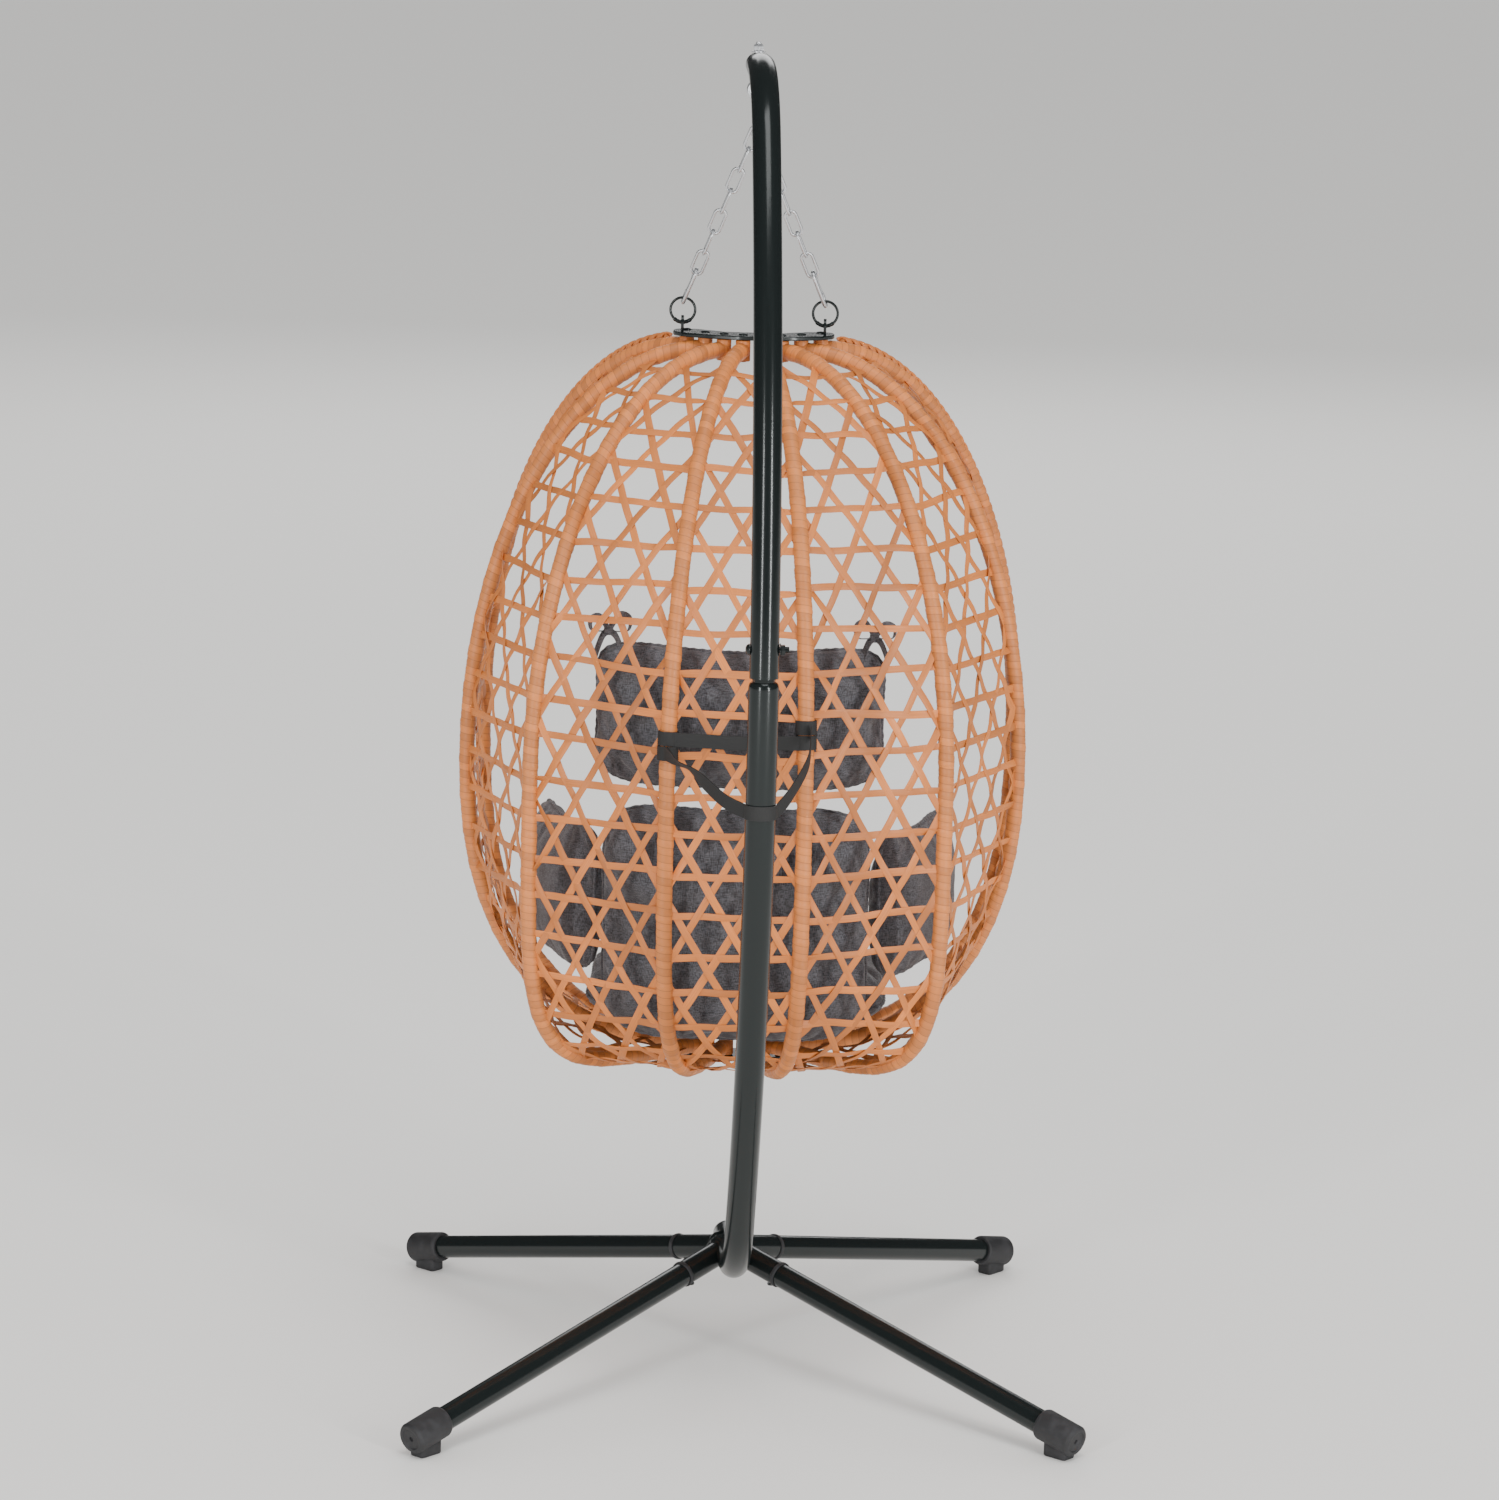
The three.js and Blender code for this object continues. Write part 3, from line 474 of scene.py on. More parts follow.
def zinc_plate(settings):
    """Bright zinc on steel wire: electroplated, so it is a soft metal shine with slightly cloudy patches."""
    material, tree, shader = new_material("zinc_plated_steel")
    if tree:
        cloud = speckle(tree, 0.006, detail=4)
        tone = add_node(tree, "ShaderNodeMix",
                        {0: cloud, 6: rgba(settings.zinc, 0.68), 7: rgba(settings.zinc, 1.1)}, 2,
                        data_type="RGBA")
        rough = add_node(tree, "ShaderNodeMapRange", {0: cloud, 1: 0.3, 2: 0.7, 3: 0.2, 4: 0.38})
        relief = add_node(tree, "ShaderNodeBump",
                          {"Height": speckle(tree, 0.001), "Distance": 0.00005, "Strength": 0.4})
        connect(tree, shader, {"Base Color": tone, "Metallic": 1.0, "Roughness": rough, "Normal": relief})
    return material


def moulded_rubber(settings):
    """Moulded black rubber: matt, with a fine stipple from the mould and a little dust on it."""
    material, tree, shader = new_material("moulded_rubber")
    if tree:
        dust = speckle(tree, 0.02, detail=5)
        share = add_node(tree, "ShaderNodeMapRange", {0: dust, 1: 0.45, 2: 0.75, 3: 0, 4: 1})
        tone = add_node(tree, "ShaderNodeMix",
                        {0: share, 6: rgba(settings.rubber), 7: rgba(settings.rubber, 2.0)}, 2,
                        data_type="RGBA")
        rough = add_node(tree, "ShaderNodeMapRange", {0: dust, 1: 0.3, 2: 0.7, 3: 0.55, 4: 0.75})
        relief = add_node(tree, "ShaderNodeBump",
                          {"Height": speckle(tree, 0.0012), "Distance": 0.0002, "Strength": 0.5})
        connect(tree, shader, {"Base Color": tone, "Roughness": rough, "Normal": relief})
    return material


def wrapped_rattan(settings):
    """Polyethylene rattan wrapped round a tube: an extruded flat strip, so it has fine grooves along it, a seam
    between turns darkened with painted shade, and a tone that changes from turn to turn."""
    material, tree, shader = new_material("wrapped_poly_rattan")
    if tree:
        surface = add_node(tree, "ShaderNodeUVMap", {}, uv_map="Surface")
        # A turn's number is (distance along) / pitch + (distance round) / girth.
        girth = 2 * math.pi * settings.rib_radius
        scaled = add_node(tree, "ShaderNodeVectorMath",
                          {0: surface, 1: (1 / girth, 1 / settings.wrap_pitch, 0)}, "Value",
                          operation="DOT_PRODUCT")
        where = add_node(tree, "ShaderNodeMath", {0: scaled}, operation="FRACT")
        index = add_node(tree, "ShaderNodeMath", {0: scaled}, operation="FLOOR")
        chance = add_node(tree, "ShaderNodeTexWhiteNoise", {"W": index}, noise_dimensions="1D")
        fibre = streaks(tree, 0.0012, 0.02, turned=True)
        turn_tone = add_node(tree, "ShaderNodeMix", {0: chance, 6: rgba(settings.rattan, 0.7),
                                                     7: rgba(settings.rattan, 1.15)}, 2, data_type="RGBA")
        patch = add_node(tree, "ShaderNodeMapRange", {0: speckle(tree, 0.05), 1: 0.3, 2: 0.7, 3: 0, 4: 0.35})
        worn = add_node(tree, "ShaderNodeMix", {0: patch, 6: turn_tone, 7: rgba(linear("#C07A45"))}, 2,
                        data_type="RGBA")
        groove = add_node(tree, "ShaderNodeMapRange", {0: fibre, 1: 0.35, 2: 0.65, 3: 0, 4: 0.3})
        grooved = add_node(tree, "ShaderNodeMix", {0: groove, 6: worn, 7: rgba(linear("#B9733F"))}, 2,
                           data_type="RGBA")
        # The seam's darkening is painted shade: the rattan is mixed towards #6E4023 in the groove where two turns
        # meet.
        off_middle = add_node(tree, "ShaderNodeMath", {0: where, 1: 0.5}, operation="SUBTRACT")
        distance = add_node(tree, "ShaderNodeMath", {0: off_middle}, operation="ABSOLUTE")
        seam = add_node(tree, "ShaderNodeMapRange", {0: distance, 1: 0.43, 2: 0.5, 3: 0, 4: 0.6})
        tone = add_node(tree, "ShaderNodeMix", {0: seam, 6: grooved, 7: rgba(linear("#6E4023"))}, 2,
                        data_type="RGBA")
        rough = add_node(tree, "ShaderNodeMapRange", {0: fibre, 1: 0.3, 2: 0.7, 3: 0.42, 4: 0.58})
        height = add_node(tree, "ShaderNodeMath", {0: fibre, 1: 0.25, 2: seam}, operation="MULTIPLY_ADD")
        relief = add_node(tree, "ShaderNodeBump", {"Height": height, "Distance": 0.0005, "Strength": 0.6},
                          invert=True)
        connect(tree, shader, {"Base Color": tone, "Roughness": rough, "Normal": relief})
    return material


def strip_rattan(settings):
    """A flat strip of polyethylene rattan: extruded with fine grooves along it, each strip lighter or darker."""
    material, tree, shader = new_material("flat_poly_rattan")
    if tree:
        fibre = streaks(tree, 0.0011, 0.06)
        drift = add_node(tree, "ShaderNodeMapRange",
                         {0: streaks(tree, 0.5, 0.25), 1: 0.3, 2: 0.7, 3: 0, 4: 1})
        base = add_node(tree, "ShaderNodeMix",
                        {0: drift, 6: rgba(settings.rattan, 0.62), 7: rgba(settings.rattan, 1.18)},
                        2, data_type="RGBA")
        groove = add_node(tree, "ShaderNodeMapRange", {0: fibre, 1: 0.35, 2: 0.65, 3: 0, 4: 0.4})
        tone = add_node(tree, "ShaderNodeMix", {0: groove, 6: base, 7: rgba(linear("#A8612F"))}, 2,
                        data_type="RGBA")
        rough = add_node(tree, "ShaderNodeMapRange", {0: fibre, 1: 0.3, 2: 0.7, 3: 0.42, 4: 0.6})
        relief = add_node(tree, "ShaderNodeBump", {"Height": fibre, "Distance": 0.0003, "Strength": 0.5})
        connect(tree, shader, {"Base Color": tone, "Roughness": rough, "Normal": relief})
    return material


def elastic_webbing(settings):
    """Woven elastic webbing: matt polyester over rubber threads, so it shows short cross threads and a little wear."""
    material, tree, shader = new_material("elastic_webbing")
    if tree:
        thread = streaks(tree, 0.0008, 0.0015)
        base = add_node(tree, "ShaderNodeMix",
                        {0: thread, 6: rgba(settings.webbing, 0.6), 7: rgba(settings.webbing, 1.8)},
                        2, data_type="RGBA")
        wear = add_node(tree, "ShaderNodeMapRange",
                        {0: streaks(tree, 0.01, 0.03), 1: 0.55, 2: 0.8, 3: 0, 4: 0.5})
        tone = add_node(tree, "ShaderNodeMix", {0: wear, 6: base, 7: rgba(linear("#3A3A3D"))}, 2,
                        data_type="RGBA")
        relief = add_node(tree, "ShaderNodeBump", {"Height": thread, "Distance": 0.0004, "Strength": 0.8})
        connect(tree, shader, {"Base Color": tone, "Roughness": 0.85, "Sheen Weight": 0.3, "Normal": relief})
    return material


def heather_cloth(settings):
    """Spun polyester plain weave: threads of mixed greys, so it is heathered, matt and slightly soft to the light."""
    material, tree, shader = new_material("heathered_polyester")
    if tree:
        # Threads are about 0.5 mm apart, drawn here at 0.9 mm so that they show.
        upright = speckle(tree, 0.0009, (1, 1, 0.12), 1.0)
        level = speckle(tree, 0.0009, (0.12, 0.12, 1), 1.0)
        weave = add_node(tree, "ShaderNodeMath", {0: upright, 1: level}, operation="ADD")
        share = add_node(tree, "ShaderNodeMapRange", {0: weave, 1: 0.76, 2: 1.24, 3: 0, 4: 1})
        threads = add_node(tree, "ShaderNodeMix",
                           {0: share, 6: rgba(settings.fabric, 0.35), 7: rgba(settings.fabric, 1.5)},
                           2, data_type="RGBA")
        slub = add_node(tree, "ShaderNodeMapRange",
                        {0: speckle(tree, 0.03, detail=4.0), 1: 0.35, 2: 0.7, 3: 0, 4: 0.3})
        tone = add_node(tree, "ShaderNodeMix", {0: slub, 6: threads, 7: rgba(linear("#4E4743"))}, 2,
                        data_type="RGBA")
        relief = add_node(tree, "ShaderNodeBump", {"Height": weave, "Distance": 0.0006, "Strength": 0.7})
        connect(tree, shader,
                {"Base Color": tone, "Roughness": 0.92, "Sheen Weight": 0.25, "Sheen Roughness": 0.5,
                               "Normal": relief})
    return material


# ---- Stand
def mast_path():
    """Centreline of the mast in the plane X = 0: a straight run, a tight bend, one long arc and a tight bend.
    An arc turns at radius R from angle a0: y = y0 - R (sin a - sin a0) and z = z0 - R (cos a - cos a0)."""
    stretches = [(BEND_R, 0, BEND_ANGLE), (LONG_R, BEND_ANGLE, np.pi - BEND_ANGLE),
                 (BEND_R, np.pi - BEND_ANGLE, np.pi)]
    path = [np.array([[0, RUN_HALF, HUB_Z], [0, -RUN_HALF, HUB_Z]])]
    for radius, start, end in stretches:
        angle = np.linspace(start, end, 120)[1:]
        _, y, z = path[-1][-1]
        arc_y = y - radius * (np.sin(angle) - math.sin(start))
        arc_z = z - radius * (np.cos(angle) - math.cos(start))
        path.append(np.stack([np.zeros_like(angle), arc_y, arc_z], -1))
    return resample(np.vstack(path), 1600)


def mast_at(share):
    path = mast_path()
    return path[int(round(share * (len(path) - 1)))]


def mast_at_height(z):
    """The place on the mast's centreline at a height between its two bends' middles."""
    path = mast_path()
    middle = path[len(path) // 4:3 * len(path) // 4]
    return np.array([np.interp(z, middle[:, 2], middle[:, k]) for k in range(3)])


def leg_point(sx, sy, distance):
    """A place on a leg's centreline, measured from the hub's centre."""
    share = distance / LEG_RUN
    return np.array([sx * FOOT_XY * share, sy * FOOT_XY * share, HUB_Z + (FOOT_AXIS_Z - HUB_Z) * share])


def shoulder(length, end, depth, run):
    """How much a tube's radius drops near its end: a quarter circle, `depth` deep over the last `run`."""
    q = np.clip(1 - (end - length) / run, 0, 1)
    return depth * (1 - np.sqrt(1 - q ** 2))


def lower_mast(settings):
    """The lower mast section: a round tube with a rounded shoulder at its top, and four welded stubs for the legs."""
    path = mast_path()
    path = path[:int(JOINT_RISE * len(path))]
    length = run_length(path)
    end = length[-1] - 0.001
    radius = settings.lower_radius - shoulder(length, end, 0.0045, 0.009)
    parts = [tube(path[length <= end], (1, 0, 0), radius[length <= end], 48)]
    for _, sx, sy in CORNERS:
        profile = [(0.024, 0.012), (0.0225, 0.022), (0.0196, 0.0245), (0.0182, 0.029), (0.018, 0.034),
                   (0.018, STUB_REACH), (0.0162, STUB_REACH), (0.0162, STUB_REACH - 0.004)]
        parts.append(lathe(soften(profile, 0.002, 3), leg_point(sx, sy, 0), leg_point(sx, sy, 1), 40))
    return parts


def upper_mast(settings):
    """The upper mast section: a square-ended round tube that steps down to the neck over the basket."""
    path = mast_path()
    path = path[int(JOINT_RISE * len(path)) + 2:]
    arm = path[-1]
    neck_end = arm + np.array([0, NECK_LENGTH, 0])
    neck = [(0.0155, -0.006), (NECK_R, -0.004), (NECK_R, NECK_LENGTH - 0.003), (NECK_R - 0.003, NECK_LENGTH)]
    parts = [tube(path, (1, 0, 0), settings.upper_radius, 48),
             lathe(soften(neck + [(0.0005, NECK_LENGTH)], 0.0015), arm, neck_end, 40)]
    return parts


def domed_bolt(at, towards, head_r, head_h, shank_r, shank_l):
    """A domed head facing back from `at`, and a plain shank running the other way."""
    dome = [(0.0003, -head_h), (head_r * 0.45, -head_h * 0.93), (head_r * 0.8, -head_h * 0.62),
            (head_r, -head_h * 0.1),
            (head_r, 0), (shank_r, 0), (shank_r, shank_l - 0.001), (shank_r - 0.001, shank_l),
            (0.0003, shank_l)]
    return lathe(dome, at, towards, 28)


def hex_nut(at, towards, across, height, hole):
    """A six-sided nut with its corners eased, closed round a hole."""
    r = across / math.sqrt(3)
    profile = [(hole, 0), (r * 0.93, 0), (r, height * 0.14), (r, height * 0.86), (r * 0.93, height),
               (hole, height)]
    return lathe(profile, at, towards, 6, closed=True)


def joint_fixings():
    """The bolt across the mast's joint, with its washer and nut, and a few turns of thread past the nut."""
    middle = mast_at(BOLT_RISE)
    left, right = middle - np.array([0.0205, 0, 0]), middle + np.array([0.0205, 0, 0])
    bolt = domed_bolt(left, right, 0.008, 0.0056, 0.004, 0.0505)
    turns = np.linspace(0, 8 * 2 * np.pi, 160)
    thread = np.stack([right[0] + 0.0076 + turns / (2 * np.pi) * 0.0007, right[1] + 0.004 * np.cos(turns),
                       right[2] + 0.004 * np.sin(turns)], -1)
    ridge = tube(thread, (1, 0, 0), 0.00038, 6)
    washer = lathe([(0.0046, 0), (0.0088, 0), (0.0088, 0.0014), (0.0046, 0.0014)], right, right + [0.1, 0, 0],
                   32, True)
    nut = hex_nut(right + [0.0015, 0, 0], right + [0.1, 0, 0], 0.013, 0.006, 0.0046)
    return [bolt, ridge], [washer, nut]


def foot_cap():
    """A cap turned on the leg's axis: rounded sleeve, and an end face with a recessed disc and a small hole."""
    r, length = CAP_R, CAP_LENGTH
    return soften([(0.0182, 0.0005), (r - 0.002, 0), (r, 0.004), (r, length - 0.004), (r - 0.003, length),
                   (0.0155, length),
                   (0.0145, length - 0.0018), (0.0035, length - 0.0018), (0.003, length - 0.005),
                   (0.0004, length - 0.005)],
                  0.0012, 3)


def foot_pad(sx, sy):
    """The level pad moulded under a cap: a rounded oblong drawn up into the sleeve."""
    angle = np.linspace(0, 2 * np.pi, 48, endpoint=False)
    c, s = np.cos(angle), np.sin(angle)
    half_length, half_width = CAP_LENGTH * 0.31, 0.013
    outline = np.stack([half_length * np.sign(c) * np.abs(c) ** 0.3,
                        half_width * np.sign(s) * np.abs(s) ** 0.3], -1)
    pad = prism(outline, 0.0, 0.02, 0.0015)
    middle = leg_point(sx, sy, LEG_RUN - CAP_LENGTH / 2)
    return moved(Part(turned_about_z(pad.points, math.atan2(sy, sx)), pad.faces, pad.uvs),
                 (middle[0], middle[1], 0))


class EGG_OT_stand(bpy.types.Operator):
    """Builds the C-shaped mast, its joint, the four legs and their feet"""
    bl_idname = "egg.stand"
    bl_label = "Stand"

    def execute(self, context):
        settings = context.scene.egg_stand
        coat, rubber = powder_coat(settings), moulded_rubber(settings)
        piece("mast_lower", lower_mast(settings), coat, "stand", ["lower_post"])
        piece("mast_upper", upper_mast(settings), coat, "stand", ["upper_post"])
        bolt, nut = joint_fixings()
        piece("mast_bolt", bolt, coat, "stand", ["joint_bolt"], 35)
        piece("mast_nut", nut, coat, "stand", ["joint_nut"], 25)
        plug = [(0.0004, 0.0115), (0.0155, 0.0112), (0.0195, 0.0088), (0.0205, 0.0065), (0.0205, 0.0005),
                (0.0004, 0.0005)]
        end = np.array([0, RUN_HALF, HUB_Z])
        piece("hub_end_plug", lathe(soften(plug, 0.001), end, end + [0, 1, 0], 40), rubber, "stand",
              ["hub_plug"])
        for corner, sx, sy in CORNERS:
            self.leg(settings, corner, sx, sy, coat, rubber)
        for node in ["joint_spigot"] + [f"leg_screw_{corner}" for corner, _, _ in CORNERS]:
            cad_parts[node].data.materials.clear()
            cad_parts[node].data.materials.append(coat)
        return {"FINISHED"}

    def leg(self, settings, corner, sx, sy, coat, rubber):
        near, far = leg_point(sx, sy, 0), leg_point(sx, sy, LEG_RUN)
        start, end = STUB_REACH + COLLAR_LENGTH, LEG_RUN - 0.01
        r = settings.leg_radius
        tube_profile = soften([(0.0004, start), (r, start), (r, end), (0.0004, end)], 0.001)
        piece(f"leg_tube_{corner}", lathe(tube_profile, near, far, 48), coat, "stand",
              [f"leg_{corner}"])
        ring = soften([(0.0165, 0), (0.0192, 0), (0.0196, 0.003), (0.0192, COLLAR_LENGTH),
                       (0.0165, COLLAR_LENGTH)], 0.0008)
        at = leg_point(sx, sy, STUB_REACH + GAP)
        piece(f"leg_ring_{corner}", lathe(ring, at, far, 48, True), rubber, "stand",
              [f"leg_collar_{corner}"])
        cap_start = leg_point(sx, sy, LEG_RUN - CAP_LENGTH)
        piece(f"foot_{corner}", [lathe(foot_cap(), cap_start, far, 56), foot_pad(sx, sy)], rubber, "stand",
              [f"foot_cap_{corner}"], 50)


# ---- Hanger
EYE_Z = ARM_Z - NECK_R - 0.003 - EYE_R - EYE_WIRE
TOP_HOOK_Z = EYE_Z - EYE_R + EYE_WIRE + HOOK_WIRE + GAP
HOOK_FOOT_Z = TOP_HOOK_Z - TOP_HOOK_LENGTH + 2 * HOOK_WIRE
RING_Z = TOP_Z + PLATE_SEAT + PLATE_T + LUG_HOLE_Z + RING_R - 0.0018
WIRE_SEAT = LINK_WIRE + HOOK_WIRE + GAP


def loop_path(radius, stretch, count):
    """A wire loop in the XZ plane: a circle whose two halves are drawn apart by `stretch` along Z."""
    angle = np.linspace(0, 2 * np.pi, count, endpoint=False) + np.pi / count
    z = radius * np.sin(angle) + np.sign(np.sin(angle)) * stretch / 2
    return np.stack([radius * np.cos(angle), np.zeros(count), z], -1)


def hook_path(length, width):
    """A spring hook's wire in the XZ plane, from beside the gate's top, over the crown and round the foot."""
    r = width / 2 - HOOK_WIRE
    top, foot = -HOOK_WIRE, -length + HOOK_WIRE
    crown = np.pi * (0.08 + 0.84 * np.arange(1, 7) / 6)
    base = np.pi * (1 + np.arange(7) / 6)
    points = [(r * 0.86, top - r * 1.6)]
    points += list(zip(r * 0.8 * np.cos(crown), top - r * 0.8 + r * 0.8 * np.sin(crown)))
    points += [(-r, (top + foot) / 2)]
    points += list(zip(r * np.cos(base), foot + r + r * np.sin(base))) + [(r, foot + r * 1.5)]
    points = np.array([(x, 0, z) for x, z in points])
    return spline(points, 140), points[0], points[-1]


def gate_part(foot, top):
    """The hook's gate: a flattened wire bar with a rivet boss at its foot and a notch end at its top."""
    path = np.linspace(foot, top, 24)
    t = np.linspace(0, 1, 24)
    radius = HOOK_WIRE * (0.68 + 0.1 * np.exp(-(t / 0.12) ** 2) + 0.1 * np.exp(-((1 - t) / 0.1) ** 2))
    return tube(path, (0, 1, 0), radius, 16)


def placed(part, rotation, offset, local=None):
    """A part turned by a 3x3 matrix and moved; `local` is applied to it first."""
    points = part.points if local is None else part.points @ local.T
    return Part(points @ rotation.T + offset, part.faces, part.uvs)


QUARTER = np.array([[0, -1, 0], [1, 0, 0], [0, 0, 1.0]])


def chain_run(sx):
    """Where one chain runs: its turn, start and link pitch, from the hook's foot to its ring."""
    start = np.array([0, sx * 0.0027, HOOK_FOOT_Z + 0.006])
    end = np.array([sx * LUG_X, LUG_Y, RING_Z + RING_R - RING_WIRE - HOOK_WIRE - 3 * GAP])
    span_left = np.linalg.norm(end - start) - (SIDE_HOOK_LENGTH - 2 * HOOK_WIRE) + 2 * WIRE_SEAT
    pitch = (span_left - 1.5 * LINK_WIRE) / LINK_COUNT
    down = unit(end - start)
    origin = start + down * (0.75 * LINK_WIRE - WIRE_SEAT)
    axis = unit(np.cross([0, 0, -1.0], down))
    angle = math.acos(float(np.clip(-down[2], -1, 1)))
    turn = np.array(Matrix.Rotation(angle, 3, axis.tolist()))
    spin = np.array(Matrix.Rotation(BASKET_TURN, 3, "Z"))
    return spin @ turn, spin @ origin, pitch


def chain_links(sx):
    """Seven welded wire links, each turned a quarter from the one before, with a weld bead on one long side."""
    rotation, origin, pitch = chain_run(sx)
    r = LINK_WIDTH / 2 - LINK_WIRE
    half = pitch / 2 + 0.95 * LINK_WIRE
    links = []
    for k in range(LINK_COUNT):
        path = loop_path(r, 2 * half - 2 * r, 64)
        weld = np.exp(-((path[:, 2]) / 0.0016) ** 2) * (path[:, 0] > 0)
        link = tube(path, (0, 1, 0), LINK_WIRE * (1 + 0.12 * weld), 14, closed=True)
        local = QUARTER if k % 2 else None
        centre = rotation @ np.array([0, 0, -pitch * (k + 0.5)]) + origin
        links.append(placed(link, rotation, centre, local))
    return links


def side_hook(sx):
    rotation, origin, pitch = chain_run(sx)
    offset = rotation @ np.array([0, 0,
                                  -LINK_COUNT * pitch - 0.75 * LINK_WIRE + WIRE_SEAT + HOOK_WIRE]) + origin
    path, gate_top, gate_foot = hook_path(SIDE_HOOK_LENGTH, HOOK_WIDTH)
    body = tube(path, (0, 1, 0), HOOK_WIRE, 18)
    gate = gate_part(gate_foot + [0, 0, GATE_GAP], gate_top - [0, 0, HOOK_WIRE / 2 + GAP])
    return placed(body, rotation, offset, QUARTER), placed(gate, rotation, offset, QUARTER)


def ring_parts(sx):
    """The round ring in the plate's lug, black coated, with tape wound over its foot."""
    angle = np.linspace(0, 2 * np.pi, 96, endpoint=False)
    path = np.stack([RING_R * np.cos(angle), np.zeros(96), RING_R * np.sin(angle)], -1) + [sx * LUG_X, LUG_Y,
                                                                                           RING_Z]
    ring = tube(path, (0, 1, 0), RING_WIRE, 14, closed=True)
    foot = path[60:84]
    ridges = 1 + 0.12 * np.abs(np.sin(np.linspace(0, 6 * np.pi, 24)))
    tape = tube(foot, (0, 1, 0), RING_WIRE * 1.35 * ridges, 14)
    return [Part(hung(part.points), part.faces, part.uvs) for part in (ring, tape)]


class EGG_OT_hanger(bpy.types.Operator):
    """Builds the eye bolt, the spring hooks, the chains and the rings"""
    bl_idname = "egg.hanger"
    bl_label = "Hanger"

    def execute(self, context):
        zinc = zinc_plate(context.scene.egg_hanger)
        coat = powder_coat(context.scene.egg_stand)
        top = np.array([0, 0, ARM_Z + NECK_R + 0.0006])
        up = top + [0, 0, 1]
        eye = loop_path(EYE_R, 0, 72) + [0, 0, EYE_Z]
        shank = lathe([(0.0004, EYE_R - 0.001), (0.004, EYE_R), (0.004, 0.0671), (0.003, 0.0681),
                       (0.0004, 0.0681)],
                      (0, 0, EYE_Z), (0, 0, 2), 24)
        piece("hanger_eye", [tube(eye, (0, 1, 0), EYE_WIRE, 18, closed=True), shank], zinc, "eye",
              ["eye_bolt"])
        nut = lathe(soften([(0.0046, 0.0022), (0.0078, 0.0022), (0.0078, 0.0092), (0.006, 0.0118),
                            (0.0046, 0.0124)],
                           0.0012), top, up, 6, closed=True)
        piece("hanger_nut", nut, zinc, "eye", ["eye_nut"], 25)
        washer = lathe(soften([(0.0045, 0), (0.01, 0), (0.01, 0.0018), (0.0045, 0.0018)], 0.0004), top, up,
                       40, True)
        piece("hanger_washer", washer, zinc, "stand", ["eye_washer"])
        path, gate_top, gate_foot = hook_path(TOP_HOOK_LENGTH, HOOK_WIDTH)
        offset = np.array([0, 0, TOP_HOOK_Z + HOOK_WIRE])
        identity = np.eye(3)
        hook = placed(tube(path, (0, 1, 0), HOOK_WIRE, 18), identity, offset, QUARTER)
        piece("hanger_hook", hook, zinc, "top_hook", ["top_hook"])
        gate = gate_part(gate_foot + [0, 0, GATE_GAP], gate_top - [0, 0, HOOK_WIRE / 2 + GAP])
        piece("hanger_hook_gate", placed(gate, identity, offset, QUARTER), zinc, "top_gate",
              ["top_hook_gate"])
        for side, sx in SIDES:
            piece(f"chain_links_{side}", chain_links(sx), zinc, "basket", [f"chain_{side}"])
            body, gate = side_hook(sx)
            piece(f"spring_hook_{side}", body, zinc, "basket", [f"side_hook_{side}"])
            piece(f"spring_hook_gate_{side}", gate, zinc, f"{side}_gate", [f"side_hook_{side}_gate"])
            piece(f"lug_ring_{side}", ring_parts(sx), coat, "basket", [f"ring_{side}"])
        return {"FINISHED"}


# ---- Basket frame
def rib_curve(rib, sx, count, first=0.0, last=np.pi):
    """A rib's centreline in its own upright plane. At angle a from the top it is r (sin a) out and r (cos a) up, where
    r = (|sin a|^p + |cos a|^p)^(-1/p); p is 2 in the dome and the rib's own fullness below the widest level."""
    spec = RIBS[rib]
    angle = np.linspace(first, last, count)
    s, c = np.sin(angle), np.cos(angle)
    power = np.where(c >= 0, DOME_POWER, spec["power"])
    r = (np.abs(s) ** power + np.abs(c) ** power) ** (-1 / power)
    out = spec["reach"] * s * r
    z = WIDE_Z + c * r * np.where(c >= 0, TOP_Z - WIDE_Z, WIDE_Z - BOTTOM_Z)
    turn = math.radians(spec["turn"])
    x, y = sx * (spec["pin"][0] + out * math.sin(turn)), PIN_Y + spec["pin"][1] - out * math.cos(turn)
    return hung(np.stack([x, y, z], -1))


def rib_normal(rib, sx):
    """The direction square to a rib's plane, pointing round towards the front."""
    turn = math.radians(RIBS[rib]["turn"])
    return hung(np.array([math.cos(turn) * sx, math.sin(turn), 0]))


def pin_at(rib, sx, z):
    x, y = RIBS[rib]["pin"]
    return hung(np.array([sx * x, PIN_Y + y, z]))


def wrap_radius(length, base, pitch, knot, phase):
    """Radius of a wrapped rib along its length and round it: base, less a narrow groove at each turn of the wrap,
    plus a low band at each knot where the weaving strips are bound to it."""
    angle = np.linspace(0, 1, 24, endpoint=False)
    turn = (length[:, None] / pitch + angle[None, :]) % 1
    groove = 0.0004 * np.exp(-((turn - 0.5) / 0.09) ** 2)
    lap = 0.0003 * turn
    place = np.abs((length[:, None] + phase) % knot - knot / 2)
    band = 0.0003 * (1 - np.tanh((place - 0.0065) / 0.001))
    return base + lap - groove + band


